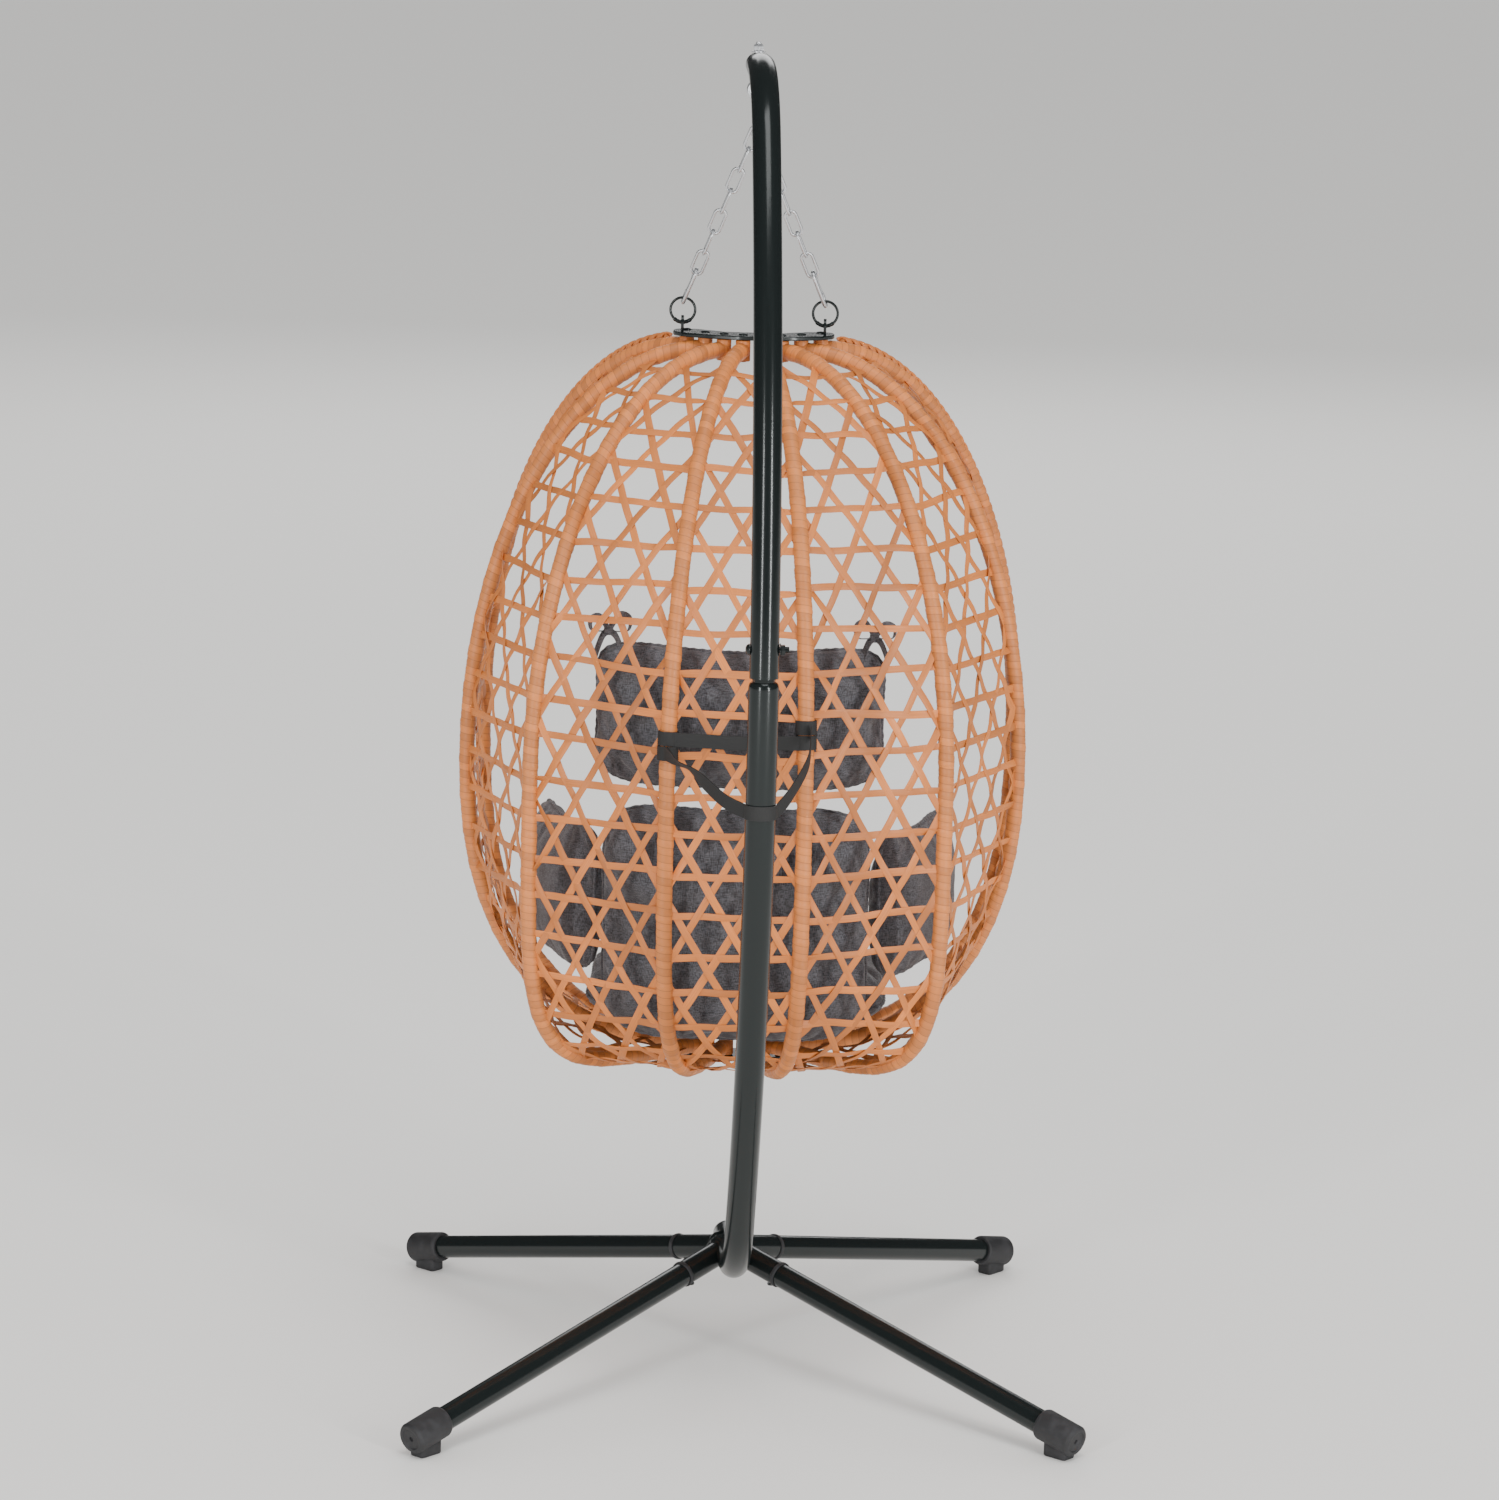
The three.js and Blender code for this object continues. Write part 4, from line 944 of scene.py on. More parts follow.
def wrapped_rib(rib, sx, settings, rng):
    """A rib: steel tube wrapped edge to edge in flat rattan, with a knuckle round its pin at both ends."""
    path = resample(rib_curve(rib, sx, 1200), 900)
    length = run_length(path)
    radius = wrap_radius(length, settings.rib_radius, settings.wrap_pitch, 0.053, rng.uniform(0, 0.05))
    radius += 0.00025 * (1 - np.tanh((length[:, None] - 0.075) / 0.0024))
    parts = [tube(path[2:-2], rib_normal(rib, sx), radius[2:-2], 24)]
    for z in (TOP_Z, BOTTOM_Z):
        foot = pin_at(rib, sx, z - KNUCKLE_HALF)
        knuckle = [(0.0046, 0), (0.0108, 0), (0.0108, 2 * KNUCKLE_HALF), (0.0046, 2 * KNUCKLE_HALF)]
        parts.append(lathe(soften(knuckle, 0.002), foot, foot + [0, 0, 1], 32, closed=True))
    return parts


def twisted_edge(sx):
    """The hoop's twisted edge: two strands of strip laid round each other, each a flat section that turns with its
    helix. Strand k is at h (cos t, sin t) from the middle of the edge, where t = 2 pi length / lay + pi k."""
    middle = resample(rib_curve("rim", sx, 1200, BRAID_END, np.pi - BRAID_END), 1500)
    normal = rib_normal("rim", sx)
    tangent = unit(np.gradient(middle, axis=0))
    outwards = np.cross(tangent, normal)
    outwards *= np.sign(np.sum((middle - [0, PIN_Y, WIDE_Z]) * outwards, -1, keepdims=True)[len(middle) // 2])
    middle = middle + normal * BRAID_FORWARD + outwards * BRAID_OUT
    turn = 2 * np.pi * run_length(middle) / BRAID_LAY
    strands = []
    for k in range(2):
        c, s = np.cos(turn + np.pi * k)[:, None], np.sin(turn + np.pi * k)[:, None]
        radial = c * normal + s * outwards
        oval = circle(1.0, 10) * BRAID_OVAL
        strands.append(sweep(middle + BRAID_HELIX * radial, radial, oval))
    return strands


def plate_outline():
    """The hinge plates' outline, its corners rounded, in basket places."""
    half = np.array([[0.016, -0.038], [0.060, -0.026], [0.104, -0.006], [0.118, 0.012], [0.118, 0.042],
                     [0.110, 0.054],
                     [0.084, 0.052], [0.040, 0.022]])
    outline = np.vstack([half, half[::-1] * [-1, 1]])
    closed = np.vstack([outline[-1:], outline, outline[:1]])
    rounded = soften(closed, 0.009, 5)[1:-1]
    return rounded + [0, PIN_Y]


def plate_parts(z, up):
    """A pressed steel hinge plate with the eight pins' riveted heads, and two lugs for the rings on the upper one."""
    low, high = (z, z + PLATE_T) if up > 0 else (z - PLATE_T, z)
    outer = high if up > 0 else low
    parts = [prism(plate_outline(), low, high, 0.0012)]
    for spec in RIBS.values():
        for _, sx in SIDES:
            at = np.array([sx * spec["pin"][0], PIN_Y + spec["pin"][1], outer])
            head = [(0.0068, -0.0004), (0.0066, 0.0012), (0.005, 0.0026), (0.0022, 0.0033), (0.0003, 0.0034)]
            parts.append(lathe(head, at, at + [0, 0, up], 24))
            shank = [(0.0045, 0.0), (0.0045, 0.033 + PLATE_T), (0.0003, 0.033 + PLATE_T)]
            parts.append(lathe([(0.0003, 0.0)] + shank, at, at - [0, 0, up], 16))
    if up > 0:
        parts += [lug_part(sx, high) for _, sx in SIDES]
    return [Part(hung(part.points), part.faces, part.uvs) for part in parts]


def lug_part(sx, z):
    """An upright lug with a round top and a hole: two rings of points, the outline and the hole, on both faces."""
    angle = np.linspace(0, 2 * np.pi, 48, endpoint=False)
    hole = np.stack([0.0045 * np.cos(angle), 0.0045 * np.sin(angle) + LUG_HOLE_Z], -1)
    top = LUG_HOLE_Z - 0.001
    height = np.where(np.sin(angle) > 0, top + 0.010 * np.sin(angle),
                      top + top * np.maximum(1.6 * np.sin(angle), -1))
    edge = np.stack([0.010 * np.cos(angle), height], -1)
    faces = [(hole, -0.002), (edge, -0.002), (edge, 0.002), (hole, 0.002)]
    rings = [np.stack([np.full(48, sx * LUG_X + x), LUG_Y + ring[:, 0], z + ring[:, 1] - 0.0003], -1)
             for ring, x in faces]
    return grid(np.stack(rings), around=True, along=True)


class EGG_OT_ribs(bpy.types.Operator):
    """Builds the wrapped ribs, the front hoop and the hinge plates that the ribs fold on"""
    bl_idname = "egg.ribs"
    bl_label = "Ribs and Plates"

    def execute(self, context):
        settings = context.scene.egg_basket
        rattan, coat = wrapped_rattan(settings), powder_coat(context.scene.egg_stand)
        rng = np.random.default_rng(11)
        for rib in RIBS:
            for side, sx in SIDES:
                node = f"front_rim_{side}" if rib == "rim" else f"{rib}_rib_{side}"
                body = "basket" if rib == "back" else f"{side}_{rib}"
                piece(f"{rib}_wrapped_{side}", wrapped_rib(rib, sx, settings, rng), rattan, body,
                      [node])
        for side, sx in SIDES:
            piece(f"rim_twisted_edge_{side}", twisted_edge(sx), strip_rattan(settings), f"{side}_rim")
        piece("hinge_plate_upper", plate_parts(TOP_Z + PLATE_SEAT, 1), coat, "basket",
              ["top_hinge_plate"], 35)
        piece("hinge_plate_lower", plate_parts(BOTTOM_Z - PLATE_SEAT, -1), coat, "basket",
              ["bottom_hinge_plate"], 35)
        return {"FINISHED"}


# ---- Weave
def panel_frame(rib_a, side_a, rib_b, side_b):
    """One panel between two ribs: its middle line's height along the panel, and both ribs' points beside it."""
    a, b = (rib_curve(rib, sx, 500, PANEL_TOP, PANEL_FOOT) for rib, sx in ((rib_a, side_a), (rib_b, side_b)))
    along = run_length((a + b) / 2)
    return a, b, along


def panel_points(panel, u, v):
    """Places on a panel: v is the distance down its middle line, and u the distance across from the middle line."""
    a, b, along = panel
    width = np.linalg.norm(b - a, axis=1)
    share = 0.5 + u / np.maximum(np.interp(v, along, width), 1e-6)
    pick = [np.stack([np.interp(v, along, side[:, k]) for k in range(3)], -1) for side in (a, b)]
    return pick[0] + (pick[1] - pick[0]) * share[:, None]


def panel_outward(panel, v):
    """The panel's outward direction at v: square to its middle line and to the line across it."""
    a, b, along = panel
    middle = (a + b) / 2
    normal = unit(np.cross(np.gradient(middle, axis=0), b - a))
    centre = np.array([0, PIN_Y, WIDE_Z])
    normal *= np.sign(np.sum(normal * (middle - centre), -1, keepdims=True))
    return unit(np.stack([np.interp(v, along, normal[:, k]) for k in range(3)], -1))


def strip_part(panel, u, v, order, settings, rng):
    """One flat strip on a panel. It rises over one crossing strip and dips under the next: its height is
    A sin(2 pi s / a + order), where s is the distance along it and a the distance between like crossings."""
    path = panel_points(panel, u, v)
    length = run_length(path)
    if length[-1] < 0.02:
        return None
    count = max(6, int(length[-1] / 0.009))
    where = np.linspace(0, length[-1], count)
    path = np.stack([np.interp(where, length, path[:, k]) for k in range(3)], -1)
    out = panel_outward(panel, np.interp(where, length, v))
    repeat = 2 * settings.row_spacing / math.sqrt(3)
    path = path + out * (0.0014 * np.sin(2 * np.pi * where / repeat + order))[:, None]
    tangent = unit(np.gradient(path, axis=0))
    flat = np.cross(tangent, out)
    share = where / where[-1]
    ends = np.exp(-(share / 0.12) ** 2) * rng.normal(0,
                                                     0.5) + np.exp(-((1 - share) / 0.12) ** 2) * rng.normal(0,
                                                                                                            0.5)
    roll = (ends + 0.1 * np.sin(where * 40 + rng.uniform(0, 6)))[:, None]
    side = flat * np.cos(roll) + out * np.sin(roll)
    w, t = settings.strip_width / 2 * rng.uniform(0.88, 1.08), settings.strip_thickness / 2
    section = np.array([[-w, -t * 0.5], [-w * 0.8, -t], [w * 0.8, -t], [w, -t * 0.5],
                        [w, t * 0.5], [w * 0.8, t], [-w * 0.8, t], [-w, t * 0.5]])
    edge = np.array([0, 0.2, 1.8, 2, 2, 1.8, 0.2, 0, 0]) * w
    uv = np.stack(np.broadcast_arrays(edge[None, :] + rng.uniform(0, 5),
                                      (where + rng.uniform(0, 50))[:, None]), -1)
    return sweep(path, side, section, uv)


def kagome(panel, settings, rng):
    """Three-way open weave: level rows a pitch h apart, and two sets at 60 degrees to them, each 2 h apart along the
    height. One set is shifted by h, so that three strips never cross at one point and six-sided holes are left."""
    a, b, along = panel
    h = settings.row_spacing
    width = np.linalg.norm(b - a, axis=1)
    parts = []
    for v in np.arange(h * 0.55, along[-1] - 0.015, h):
        half = np.interp(v, along, width) / 2
        u = np.linspace(-half, half, 40)
        tilt = rng.uniform(-0.004, 0.004)
        sway = rng.uniform(-0.0025, 0.0025) * np.sin(np.pi * u / half)
        rows = np.clip(v + tilt * u / half + sway + rng.uniform(-0.004, 0.004), 0, along[-1])
        parts.append(strip_part(panel, u, rows, 0.0, settings, rng))
    fine = np.linspace(0, along[-1], 700)
    half = np.interp(fine, along, width) / 2
    reach = width.max()
    for sign, order in ((1, 2 * np.pi / 3), (-1, 4 * np.pi / 3)):
        for start in np.arange(-2 * h * math.ceil(reach / h), along[-1] + reach, 2 * h):
            offset = start + h * 1.05 + rng.uniform(-0.005, 0.005)
            slope = math.sqrt(3) * rng.uniform(0.97, 1.03)
            u = sign * (fine - offset) / slope
            inside = np.abs(u) <= half
            if inside.sum() > 8:
                parts += runs_inside(panel, u, fine, inside, order, settings, rng)
    return [part for part in parts if part is not None]


def runs_inside(panel, u, v, inside, order, settings, rng):
    """The stretches of a slanting strip that lie between the two ribs."""
    edges = np.flatnonzero(np.diff(np.concatenate([[0], inside.astype(int), [0]])))
    return [strip_part(panel, u[a:b], v[a:b], order, settings, rng) for a,
            b in edges.reshape(-1, 2) if b - a > 8]


class EGG_OT_weave(bpy.types.Operator):
    """Weaves the open panels between the ribs"""
    bl_idname = "egg.weave"
    bl_label = "Weave"

    def execute(self, context):
        settings = context.scene.egg_basket
        rattan = strip_rattan(settings)
        rng = np.random.default_rng(5)
        back = kagome(panel_frame("back", -1, "back", 1), settings, rng)
        piece("open_weave_back", back, rattan, "basket", ["weave_back"])
        for inner, outer, node in (("back", "quarter", "quarter"), ("quarter", "side", "side"),
                                   ("side", "rim", "front")):
            for side, sx in SIDES:
                parts = kagome(panel_frame(inner, sx, outer, sx), settings, rng)
                panel = piece(f"open_weave_{node}_{side}", parts, rattan, f"{side}_{outer}",
                              [f"weave_{node}_{side}"])
                tuple(rib_normal(outer, sx))
                tuple(pin_at(outer, sx, WIDE_Z))
                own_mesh(panel)
        return {"FINISHED"}


# ---- Straps
def strap(points, width, thickness, roll=0.0, count=160, level=(0, 0, 1)):
    """Flat elastic webbing along a path, on edge: its section has seven shallow lengthwise ribs on both faces."""
    path = resample(spline(points, count * 4), count)
    across = np.linspace(-1, 1, 29)
    face = thickness / 2 * (0.8 + 0.2 * np.abs(np.cos(across * 3.5 * np.pi)))
    front = np.stack([across * width / 2, face], -1)
    back = np.stack([across[::-1] * width / 2, -face[::-1]], -1)
    section = np.concatenate([front, back])
    tangent = unit(np.gradient(path, axis=0))
    up = np.broadcast_to(np.array(level, float), path.shape)
    up = unit(up - tangent * np.sum(up * tangent, -1, keepdims=True))
    angle = np.broadcast_to(np.asarray(roll, float), (count,))[:, None]
    side = up * np.cos(angle) + np.cross(tangent, up) * np.sin(angle)
    return sweep(path, side, section)


def strap_round(rib, sx, angle, width, thickness, radius):
    """A band of webbing taken once round a rib: a short ribbed sleeve on the rib's own line."""
    path = rib_curve(rib, sx, 3, angle - 0.02, angle + 0.02)
    middle, axis = path[1], unit(path[2] - path[0])
    across = np.linspace(-width / 2, width / 2, 21)
    ridge = 0.0002 * np.cos(across / width * 7 * 2 * np.pi)
    outer = np.stack([radius + thickness + ridge, across], -1)
    inner = np.stack([np.full(21, radius), across[::-1]], -1)
    return lathe(np.vstack([outer, inner]), middle, middle + axis, 40, closed=True)


class EGG_OT_straps(bpy.types.Operator):
    """Makes the elastic band between the back ribs and the loop that holds the basket to the mast"""
    bl_idname = "egg.straps"
    bl_label = "Straps"

    def execute(self, context):
        settings = context.scene.egg_soft
        webbing = elastic_webbing(settings)
        width, thick = settings.strap_width, WEBBING_T
        angle = BAND_ANGLE
        left, right = (rib_curve("back", sx, 3, angle - 0.01, angle + 0.01)[1] for sx in (-1, 1))
        behind = hung(np.array([0, -0.012, 0]))
        middle = (left + right) / 2 + behind * 0.7 + [0, 0, -0.003]
        between = [(side + middle) / 2 + behind * 0.3 for side in (left, right)]
        band = strap([left + behind, between[0], middle, between[1], right + behind], width, thick)
        loops = [strap_round("back", sx, angle, width, thick, 0.0135) for sx in (-1, 1)]
        piece("rib_band", [band] + loops, webbing, "basket", ["back_band"])
        piece("mast_loop", self.mast_loop(width, thick), webbing, "basket",
              ["tether_strap"])
        return {"FINISHED"}

    def mast_loop(self, width, thick):
        """From the left back rib, with a half twist, loosely round behind the mast to the right back rib."""
        left = rib_curve("back", -1, 3, 1.45, 1.47)[1]
        right = rib_curve("back", 1, 3, 1.39, 1.41)[1]
        mast = mast_at_height(0.925)
        turn = np.linspace(np.pi, 2 * np.pi, 9)
        round_mast = np.stack([LOOP_R * np.cos(turn), mast[1] + LOOP_R * np.sin(turn), np.full(9, LOOP_Z)],
                              -1)
        to_mast = [left + [-0.006, -0.016, 0], [-0.088, -0.350, 0.958], [-0.050, -0.424, 0.935]]
        from_mast = [[0.045, -0.420, 0.945], [0.072, -0.350, 0.975], right + [0.006, -0.016, 0]]
        points = np.vstack([to_mast, round_mast, from_mast])
        roll = 0.9 * np.exp(-((np.linspace(0, 1, 160) - 0.14) / 0.08) ** 2)
        ends = [strap_round("back", sx, a, width, thick, 0.0137) for sx, a in ((-1, 1.465), (1, 1.395))]
        return [strap(points, width, thick, roll)] + ends


# ---- Cushions. Each is a pillow in its own plane, X across, Y through and Z up, then turned and put in the basket.
CUSHIONS = {
    "head_pillow": dict(size=(0.430, 0.225, 0.084), bend=0.030, at=(0, -0.262, 1.006), tilt=3, turn=0,
                        sag=0.016),
    "back_cushion": dict(size=(0.400, 0.370, 0.100), bend=0.026, at=(0, -0.258, 0.699), tilt=7, turn=0,
                         sag=0.004),
    "seat_cushion": dict(size=(0.460, 0.370, 0.084), bend=0.0, at=(0, 0.008, 0.552), tilt=90, turn=0,
                         sag=0.0),
    "arm_cushion_left": dict(size=(0.270, 0.230, 0.076), bend=0.014, at=(-0.262, -0.052, 0.710), tilt=0,
                             turn=-70, sag=0.008),
    "arm_cushion_right": dict(size=(0.270, 0.230, 0.076), bend=0.014, at=(0.262, -0.052, 0.710), tilt=0,
                              turn=70, sag=0.008),
}


def cushion_edge(spec, angle):
    """The seam line of a pillow: a rounded rectangle whose sides pull in between its corners. In terms of the
    angle a it is (w/2) c, (h/2) s, where c and s are cos a and sin a raised to 0.4."""
    width, height, _ = spec["size"]
    c, s = np.cos(angle), np.sin(angle)
    x = np.sign(c) * np.abs(c) ** 0.4
    z = np.sign(s) * np.abs(s) ** 0.4
    pull = 1 - 0.055 * (1 - x ** 2 * z ** 2)
    return x * pull * width / 2, z * pull * height / 2


def cushion_place(spec, x, y, z):
    """Pillow places to basket places: the pillow bends round the wall, tilts, turns and moves."""
    y = y + spec["bend"] * (x / (spec["size"][0] / 2)) ** 2
    z = z - spec["sag"] * (1 - (x / (spec["size"][0] / 2)) ** 2) * (z > 0)
    turn, tilt = math.radians(spec["turn"]), math.radians(spec["tilt"])
    y, z = y * math.cos(tilt) - z * math.sin(tilt), y * math.sin(tilt) + z * math.cos(tilt)
    points = turned_about_z(np.stack([x, y, z], -1), turn)
    return hung(points + np.array(spec["at"]) + [0, PIN_Y, 0])


def pillow_shell(spec):
    """A pillow before it is filled: rings shrink from the seam to the middle of each face while its height grows as
    the square root of the way in, so the face is crowned and the edge is thin."""
    angle = np.linspace(0, 2 * np.pi, SHELL_AROUND, endpoint=False)
    edge_x, edge_z = cushion_edge(spec, angle)
    latitude = np.linspace(-np.pi / 2, np.pi / 2, SHELL_RINGS)[:, None]
    share = np.cos(latitude) ** 0.75
    half = spec["size"][2] * 0.36
    y = half * np.sign(latitude) * np.abs(np.sin(latitude)) ** 0.8
    x, z = share * edge_x, share * edge_z
    points = cushion_place(spec, x, np.broadcast_to(y, x.shape), z)
    return grid(points)


def filled(shell, spec, settings):
    """The pillow blown up as cloth: its mesh is remade at an even size, pinned along the seam, grown a little so that
    it gathers there, and swelled by air pressure. No point moves further than the cap."""
    source = bpy.data.objects.new("pillow_shell", make_mesh("pillow_shell", shell))
    bpy.context.scene.collection.objects.link(source)
    remesh = source.modifiers.new("Even", "REMESH")
    remesh.mode, remesh.voxel_size = "VOXEL", settings.voxel
    start = mesh_points(source)
    baked = bpy.data.meshes.new_from_object(source.evaluated_get(bpy.context.evaluated_depsgraph_get()))
    source.modifiers.clear()
    source.data = baked
    angle = np.linspace(0, 2 * np.pi, 400, endpoint=False)
    edge_x, edge_z = cushion_edge(spec, angle)
    seam = cushion_place(spec, edge_x, np.zeros(400), edge_z)
    near = np.array([np.min(np.linalg.norm(seam - point, axis=1)) for point in start])
    group = source.vertex_groups.new(name="Seam")
    for index in np.flatnonzero(near < settings.voxel * 1.1):
        group.add([int(index)], 1.0, "REPLACE")
    cloth = source.modifiers.new("Fill", "CLOTH")
    cloth.settings.quality = 6
    cloth.settings.use_pressure = True
    cloth.settings.uniform_pressure_force = settings.puff
    cloth.settings.vertex_group_mass = "Seam"
    cloth.settings.shrink_min = -0.07
    cloth.settings.effector_weights.gravity = 0
    cloth.settings.tension_stiffness = 25
    cloth.settings.bending_stiffness = 0.35
    cloth.point_cache.frame_start, cloth.point_cache.frame_end = 1, settings.frames
    for frame_number in range(1, settings.frames + 1):
        bpy.context.scene.frame_set(frame_number)
    moved_by = mesh_points(source) - start
    distance = np.linalg.norm(moved_by, axis=1, keepdims=True)
    capped = start + moved_by * np.minimum(1, FILL_CAP / np.maximum(distance, 1e-9))
    source.modifiers.clear()
    bpy.context.scene.frame_set(1)
    source.data.vertices.foreach_set("co", capped.astype(np.float32).ravel())
    smooth = source.modifiers.new("Finer", "SUBSURF")
    smooth.levels = smooth.render_levels = 1
    result = mesh_part(source)
    bpy.data.objects.remove(source)
    return result


def mesh_points(obj):
    """The points of an object's mesh with its modifiers applied."""
    mesh = obj.evaluated_get(bpy.context.evaluated_depsgraph_get()).to_mesh()
    points = np.empty(len(mesh.vertices) * 3, np.float32)
    mesh.vertices.foreach_get("co", points)
    return points.reshape(-1, 3).astype(float)


def mesh_part(obj):
    """An object's mesh, modifiers applied, as a Part of its quads."""
    points = mesh_points(obj)
    mesh = obj.evaluated_get(bpy.context.evaluated_depsgraph_get()).to_mesh()
    corners = np.empty(len(mesh.loops), np.int32)
    mesh.loops.foreach_get("vertex_index", corners)
    sizes = np.empty(len(mesh.polygons), np.int32)
    mesh.polygons.foreach_get("loop_total", sizes)
    starts = np.concatenate([[0], np.cumsum(sizes)[:-1]])
    faces = [corners[starts[sizes == n][:, None] + np.arange(n)] for n in np.unique(sizes)]
    return outward(Part(points, faces, [np.zeros(block.shape + (2,)) for block in faces]))


def seam_cord(spec):
    """The sewn edge: a thin welt along the seam, drawn in by each stitch."""
    angle = np.linspace(0, 2 * np.pi, 360, endpoint=False)
    edge_x, edge_z = cushion_edge(spec, angle)
    path = resample(cushion_place(spec, edge_x, np.zeros(360), edge_z), 360)
    radius = SEAM_WELT_R + 0.0005 * np.cos(np.arange(360) * 2 * np.pi / 4)
    return tube(path, (0, 0, 1), radius, 8, closed=True)


def bow(spec, sx, rng):
    """The tie at a top corner of the head pillow: two loops, a knot and two tails of narrow cloth tape."""
    x, z = sx * spec["size"][0] * 0.44, spec["size"][1] * 0.47
    knot = cushion_place(spec, np.array([x]), np.array([-0.004]), np.array([z + 0.012]))[0]
    loops = []
    for hand in (-1, 1):
        reach, rise = 0.028 * rng.uniform(0.9, 1.1), 0.024 * rng.uniform(0.8, 1.2)
        loop = np.array([[0, 0, 0], [0.5, -0.15, 0.9], [1, -0.1, 0.7], [0.95, 0, 0], [0.45, 0.1, -0.1],
                         [0, 0, 0]])
        loops.append(strap(knot + loop * [hand * reach, 0.02, rise], 0.013, 0.0014, 0.4 * hand, 48,
                           (0, 1, 0.2)))
        tail = np.array([[0, 0, 0], [0.4, -0.2, -0.4], [0.7, -0.3, -1.2], [0.9, -0.1, -2.0]])
        loops.append(strap(knot + tail * [hand * reach * 0.8, 0.02, 0.018], 0.012, 0.0014, 0.5 * hand, 32,
                           (0, 1, 0.2)))
    loops.append(lathe(soften([(0.0004, -0.007), (0.007, -0.006), (0.0078, 0), (0.007, 0.006),
                               (0.0004, 0.007)], 0.002),
                       knot, knot + [1, 0, 0], 20))
    return loops


class EGG_OT_cushions(bpy.types.Operator):
    """Fills the head pillow, the back and seat cushions and the two arm cushions"""
    bl_idname = "egg.cushions"
    bl_label = "Cushions"

    def execute(self, context):
        settings = context.scene.egg_soft
        cloth = heather_cloth(settings)
        rng = np.random.default_rng(3)
        for name, spec in CUSHIONS.items():
            parts = [filled(pillow_shell(spec), spec, settings), seam_cord(spec)]
            if name == "head_pillow":
                parts += bow(spec, -1, rng) + bow(spec, 1, rng)
            cushion = piece(f"filled_{name}", parts, cloth, "basket", [name], 60)
            middle = tuple(hung(np.array([0, PIN_Y + spec["at"][1], spec["at"][2]])))
            tuple(hung(np.array([1.0, 0, 0])))
            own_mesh(cushion)
        return {"FINISHED"}


# ---- Stage
def light(name, at, aim, size_x, size_y, watts):
    lamp = bpy.data.lights.new(name, "AREA")
    lamp.shape = "RECTANGLE"
    lamp.size, lamp.size_y = size_x, size_y
    lamp.energy = watts
    obj = bpy.data.objects.new(name, lamp)
    obj.location = at
    obj.rotation_euler = (Vector(aim) - Vector(at)).to_track_quat("-Z", "Y").to_euler()
    bpy.context.scene.collection.objects.link(obj)


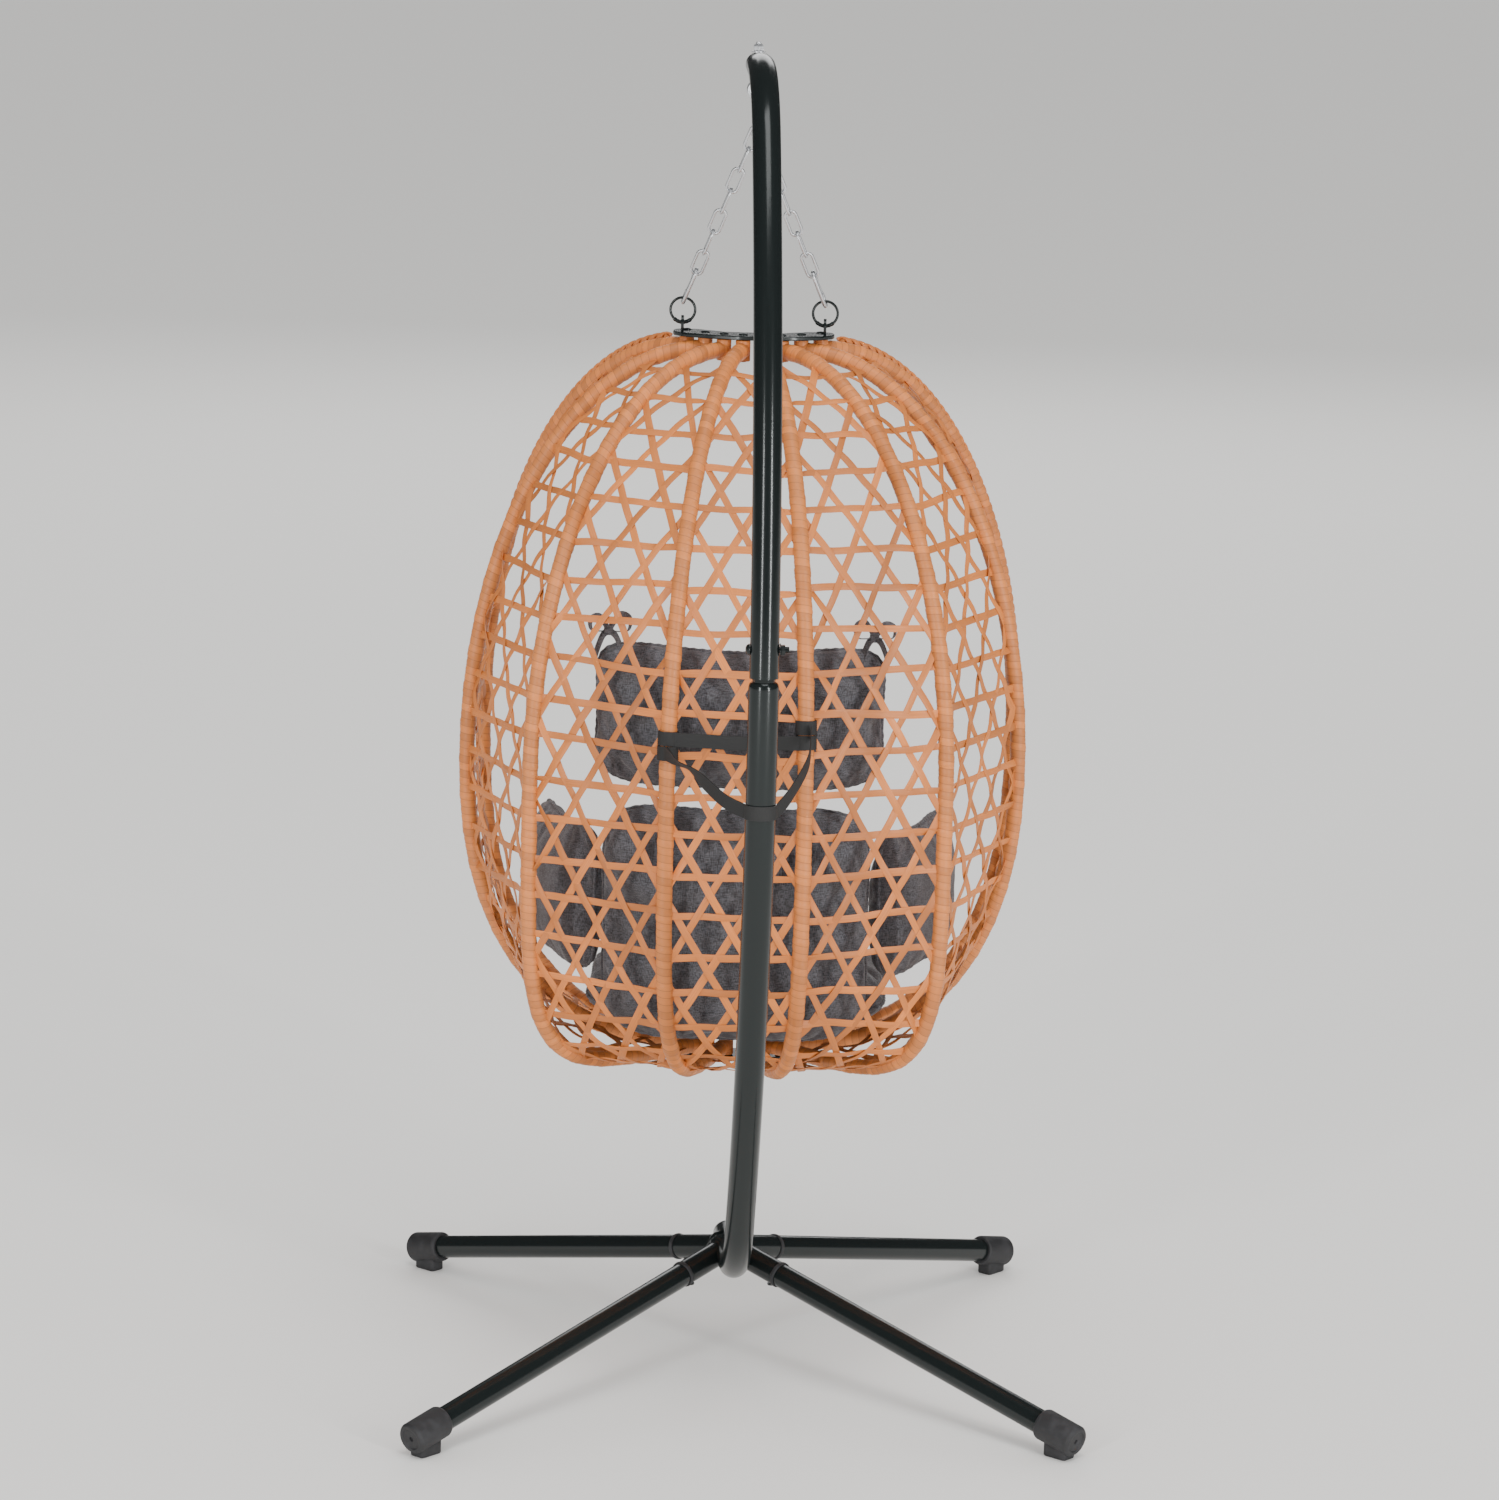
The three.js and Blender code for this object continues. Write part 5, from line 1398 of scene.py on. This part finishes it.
class EGG_OT_stage(bpy.types.Operator):
    """Adds the floor, the soft studio light and the camera"""
    bl_idname = "egg.stage"
    bl_label = "Stage"

    def execute(self, context):
        settings = context.scene.egg_stage
        self.camera(context, settings)
        self.floor(settings)
        self.world(context)
        middle = Vector((0, 0, 1.0))
        light("Strip Left", (-7.2, -11.5, 2.6), middle, 0.42, 8.5, 1000)
        light("Strip Right", (7.5, -11.0, 2.6), middle, 0.5, 8.5, 1250)
        light("Overhead", (0.8, -3.2, 9.2), middle, 4.5, 4.5, 330)
        light("Front Fill", (1.2, 12.0, 6.4), middle, 7.0, 5.0, 300)
        return {"FINISHED"}

    def camera(self, context, settings):
        """The camera looks along +Y from behind the basket, a little from the left and a little down."""
        psi, pitch, pan, roll = 0.062, -0.188, -0.0017, 0.025
        azimuth = psi - pan
        ahead = Vector((math.sin(azimuth) * math.cos(pitch), math.cos(azimuth) * math.cos(pitch),
                        math.sin(pitch)))
        level = Vector((math.cos(azimuth), -math.sin(azimuth), 0))
        above = level.cross(ahead)
        right = level * math.cos(roll) + above * math.sin(roll)
        up = above * math.cos(roll) - level * math.sin(roll)
        data = bpy.data.cameras.new("Camera")
        data.lens, data.sensor_width = settings.lens * 1000, SENSOR_WIDTH
        camera = bpy.data.objects.new("Camera", data)
        place = Vector((-settings.distance * math.sin(psi), -settings.distance * math.cos(psi),
                        settings.eye_height))
        camera.matrix_world = Matrix.Translation(place) @ Matrix((right, up, -ahead)).transposed().to_4x4()
        context.scene.collection.objects.link(camera)
        context.scene.camera = camera

    def floor(self, settings):
        material, tree, shader = new_material("painted_floor")
        if tree:
            connect(tree, shader, {"Base Color": rgba(settings.floor), "Roughness": 0.9})
        corners = np.array([[-1, -1, 0], [1, -1, 0], [1, 1, 0], [-1, 1, 0]], float) * FLOOR_HALF
        part = Part(corners, [np.array([[0, 1, 2, 3]])], [corners[None, :, :2]])
        floor = bpy.data.objects.new("Floor", make_mesh("Floor", part))
        floor.data.materials.append(material)
        bpy.context.scene.collection.objects.link(floor)

    def world(self, context):
        """Brighter to the camera than to the surfaces it lights, and almost dark to mirror reflections."""
        world = bpy.data.worlds.new("Studio")
        context.scene.world = world
        world.use_nodes = True
        tree = world.node_tree
        seen = add_node(tree, "ShaderNodeLightPath", {}, "Is Camera Ray")
        mirrored = add_node(tree, "ShaderNodeLightPath", {}, "Is Glossy Ray")
        room = add_node(tree, "ShaderNodeMapRange", {0: mirrored, 1: 0, 2: 1, 3: 0.9, 4: 0.06})
        strength = add_node(tree, "ShaderNodeMapRange", {0: seen, 1: 0, 2: 1, 3: room, 4: 1.6})
        connect(tree, tree.nodes["Background"], {"Color": (1, 1, 1, 1), "Strength": strength})


STEPS = (EGG_OT_stage, EGG_OT_stand, EGG_OT_hanger, EGG_OT_ribs, EGG_OT_weave, EGG_OT_straps, EGG_OT_cushions)


class EGG_PT_chair(bpy.types.Panel):
    """Lists the chair's settings and the operators that build it"""
    bl_idname = "EGG_PT_chair"
    bl_label = "Hanging Egg Chair"
    bl_space_type = "VIEW_3D"
    bl_region_type = "UI"
    bl_category = "Egg Chair"

    def draw(self, context):
        for step in STEPS:
            self.layout.operator(step.bl_idname)
        for name, group in GROUPS.items():
            box = self.layout.box()
            for setting in group.__annotations__:
                box.prop(getattr(context.scene, name), setting)


def register():
    for cls in (*GROUPS.values(), *STEPS, EGG_PT_chair):
        bpy.utils.register_class(cls)
    for name, group in GROUPS.items():
        setattr(bpy.types.Scene, name, PointerProperty(type=group))


def unregister():
    for name in GROUPS:
        delattr(bpy.types.Scene, name)
    for cls in reversed((*GROUPS.values(), *STEPS, EGG_PT_chair)):
        bpy.utils.unregister_class(cls)


def main():
    register()
    for step in STEPS:
        area, name = step.bl_idname.split(".")
        getattr(getattr(bpy.ops, area), name)()


if __name__ == "__main__":
    main()
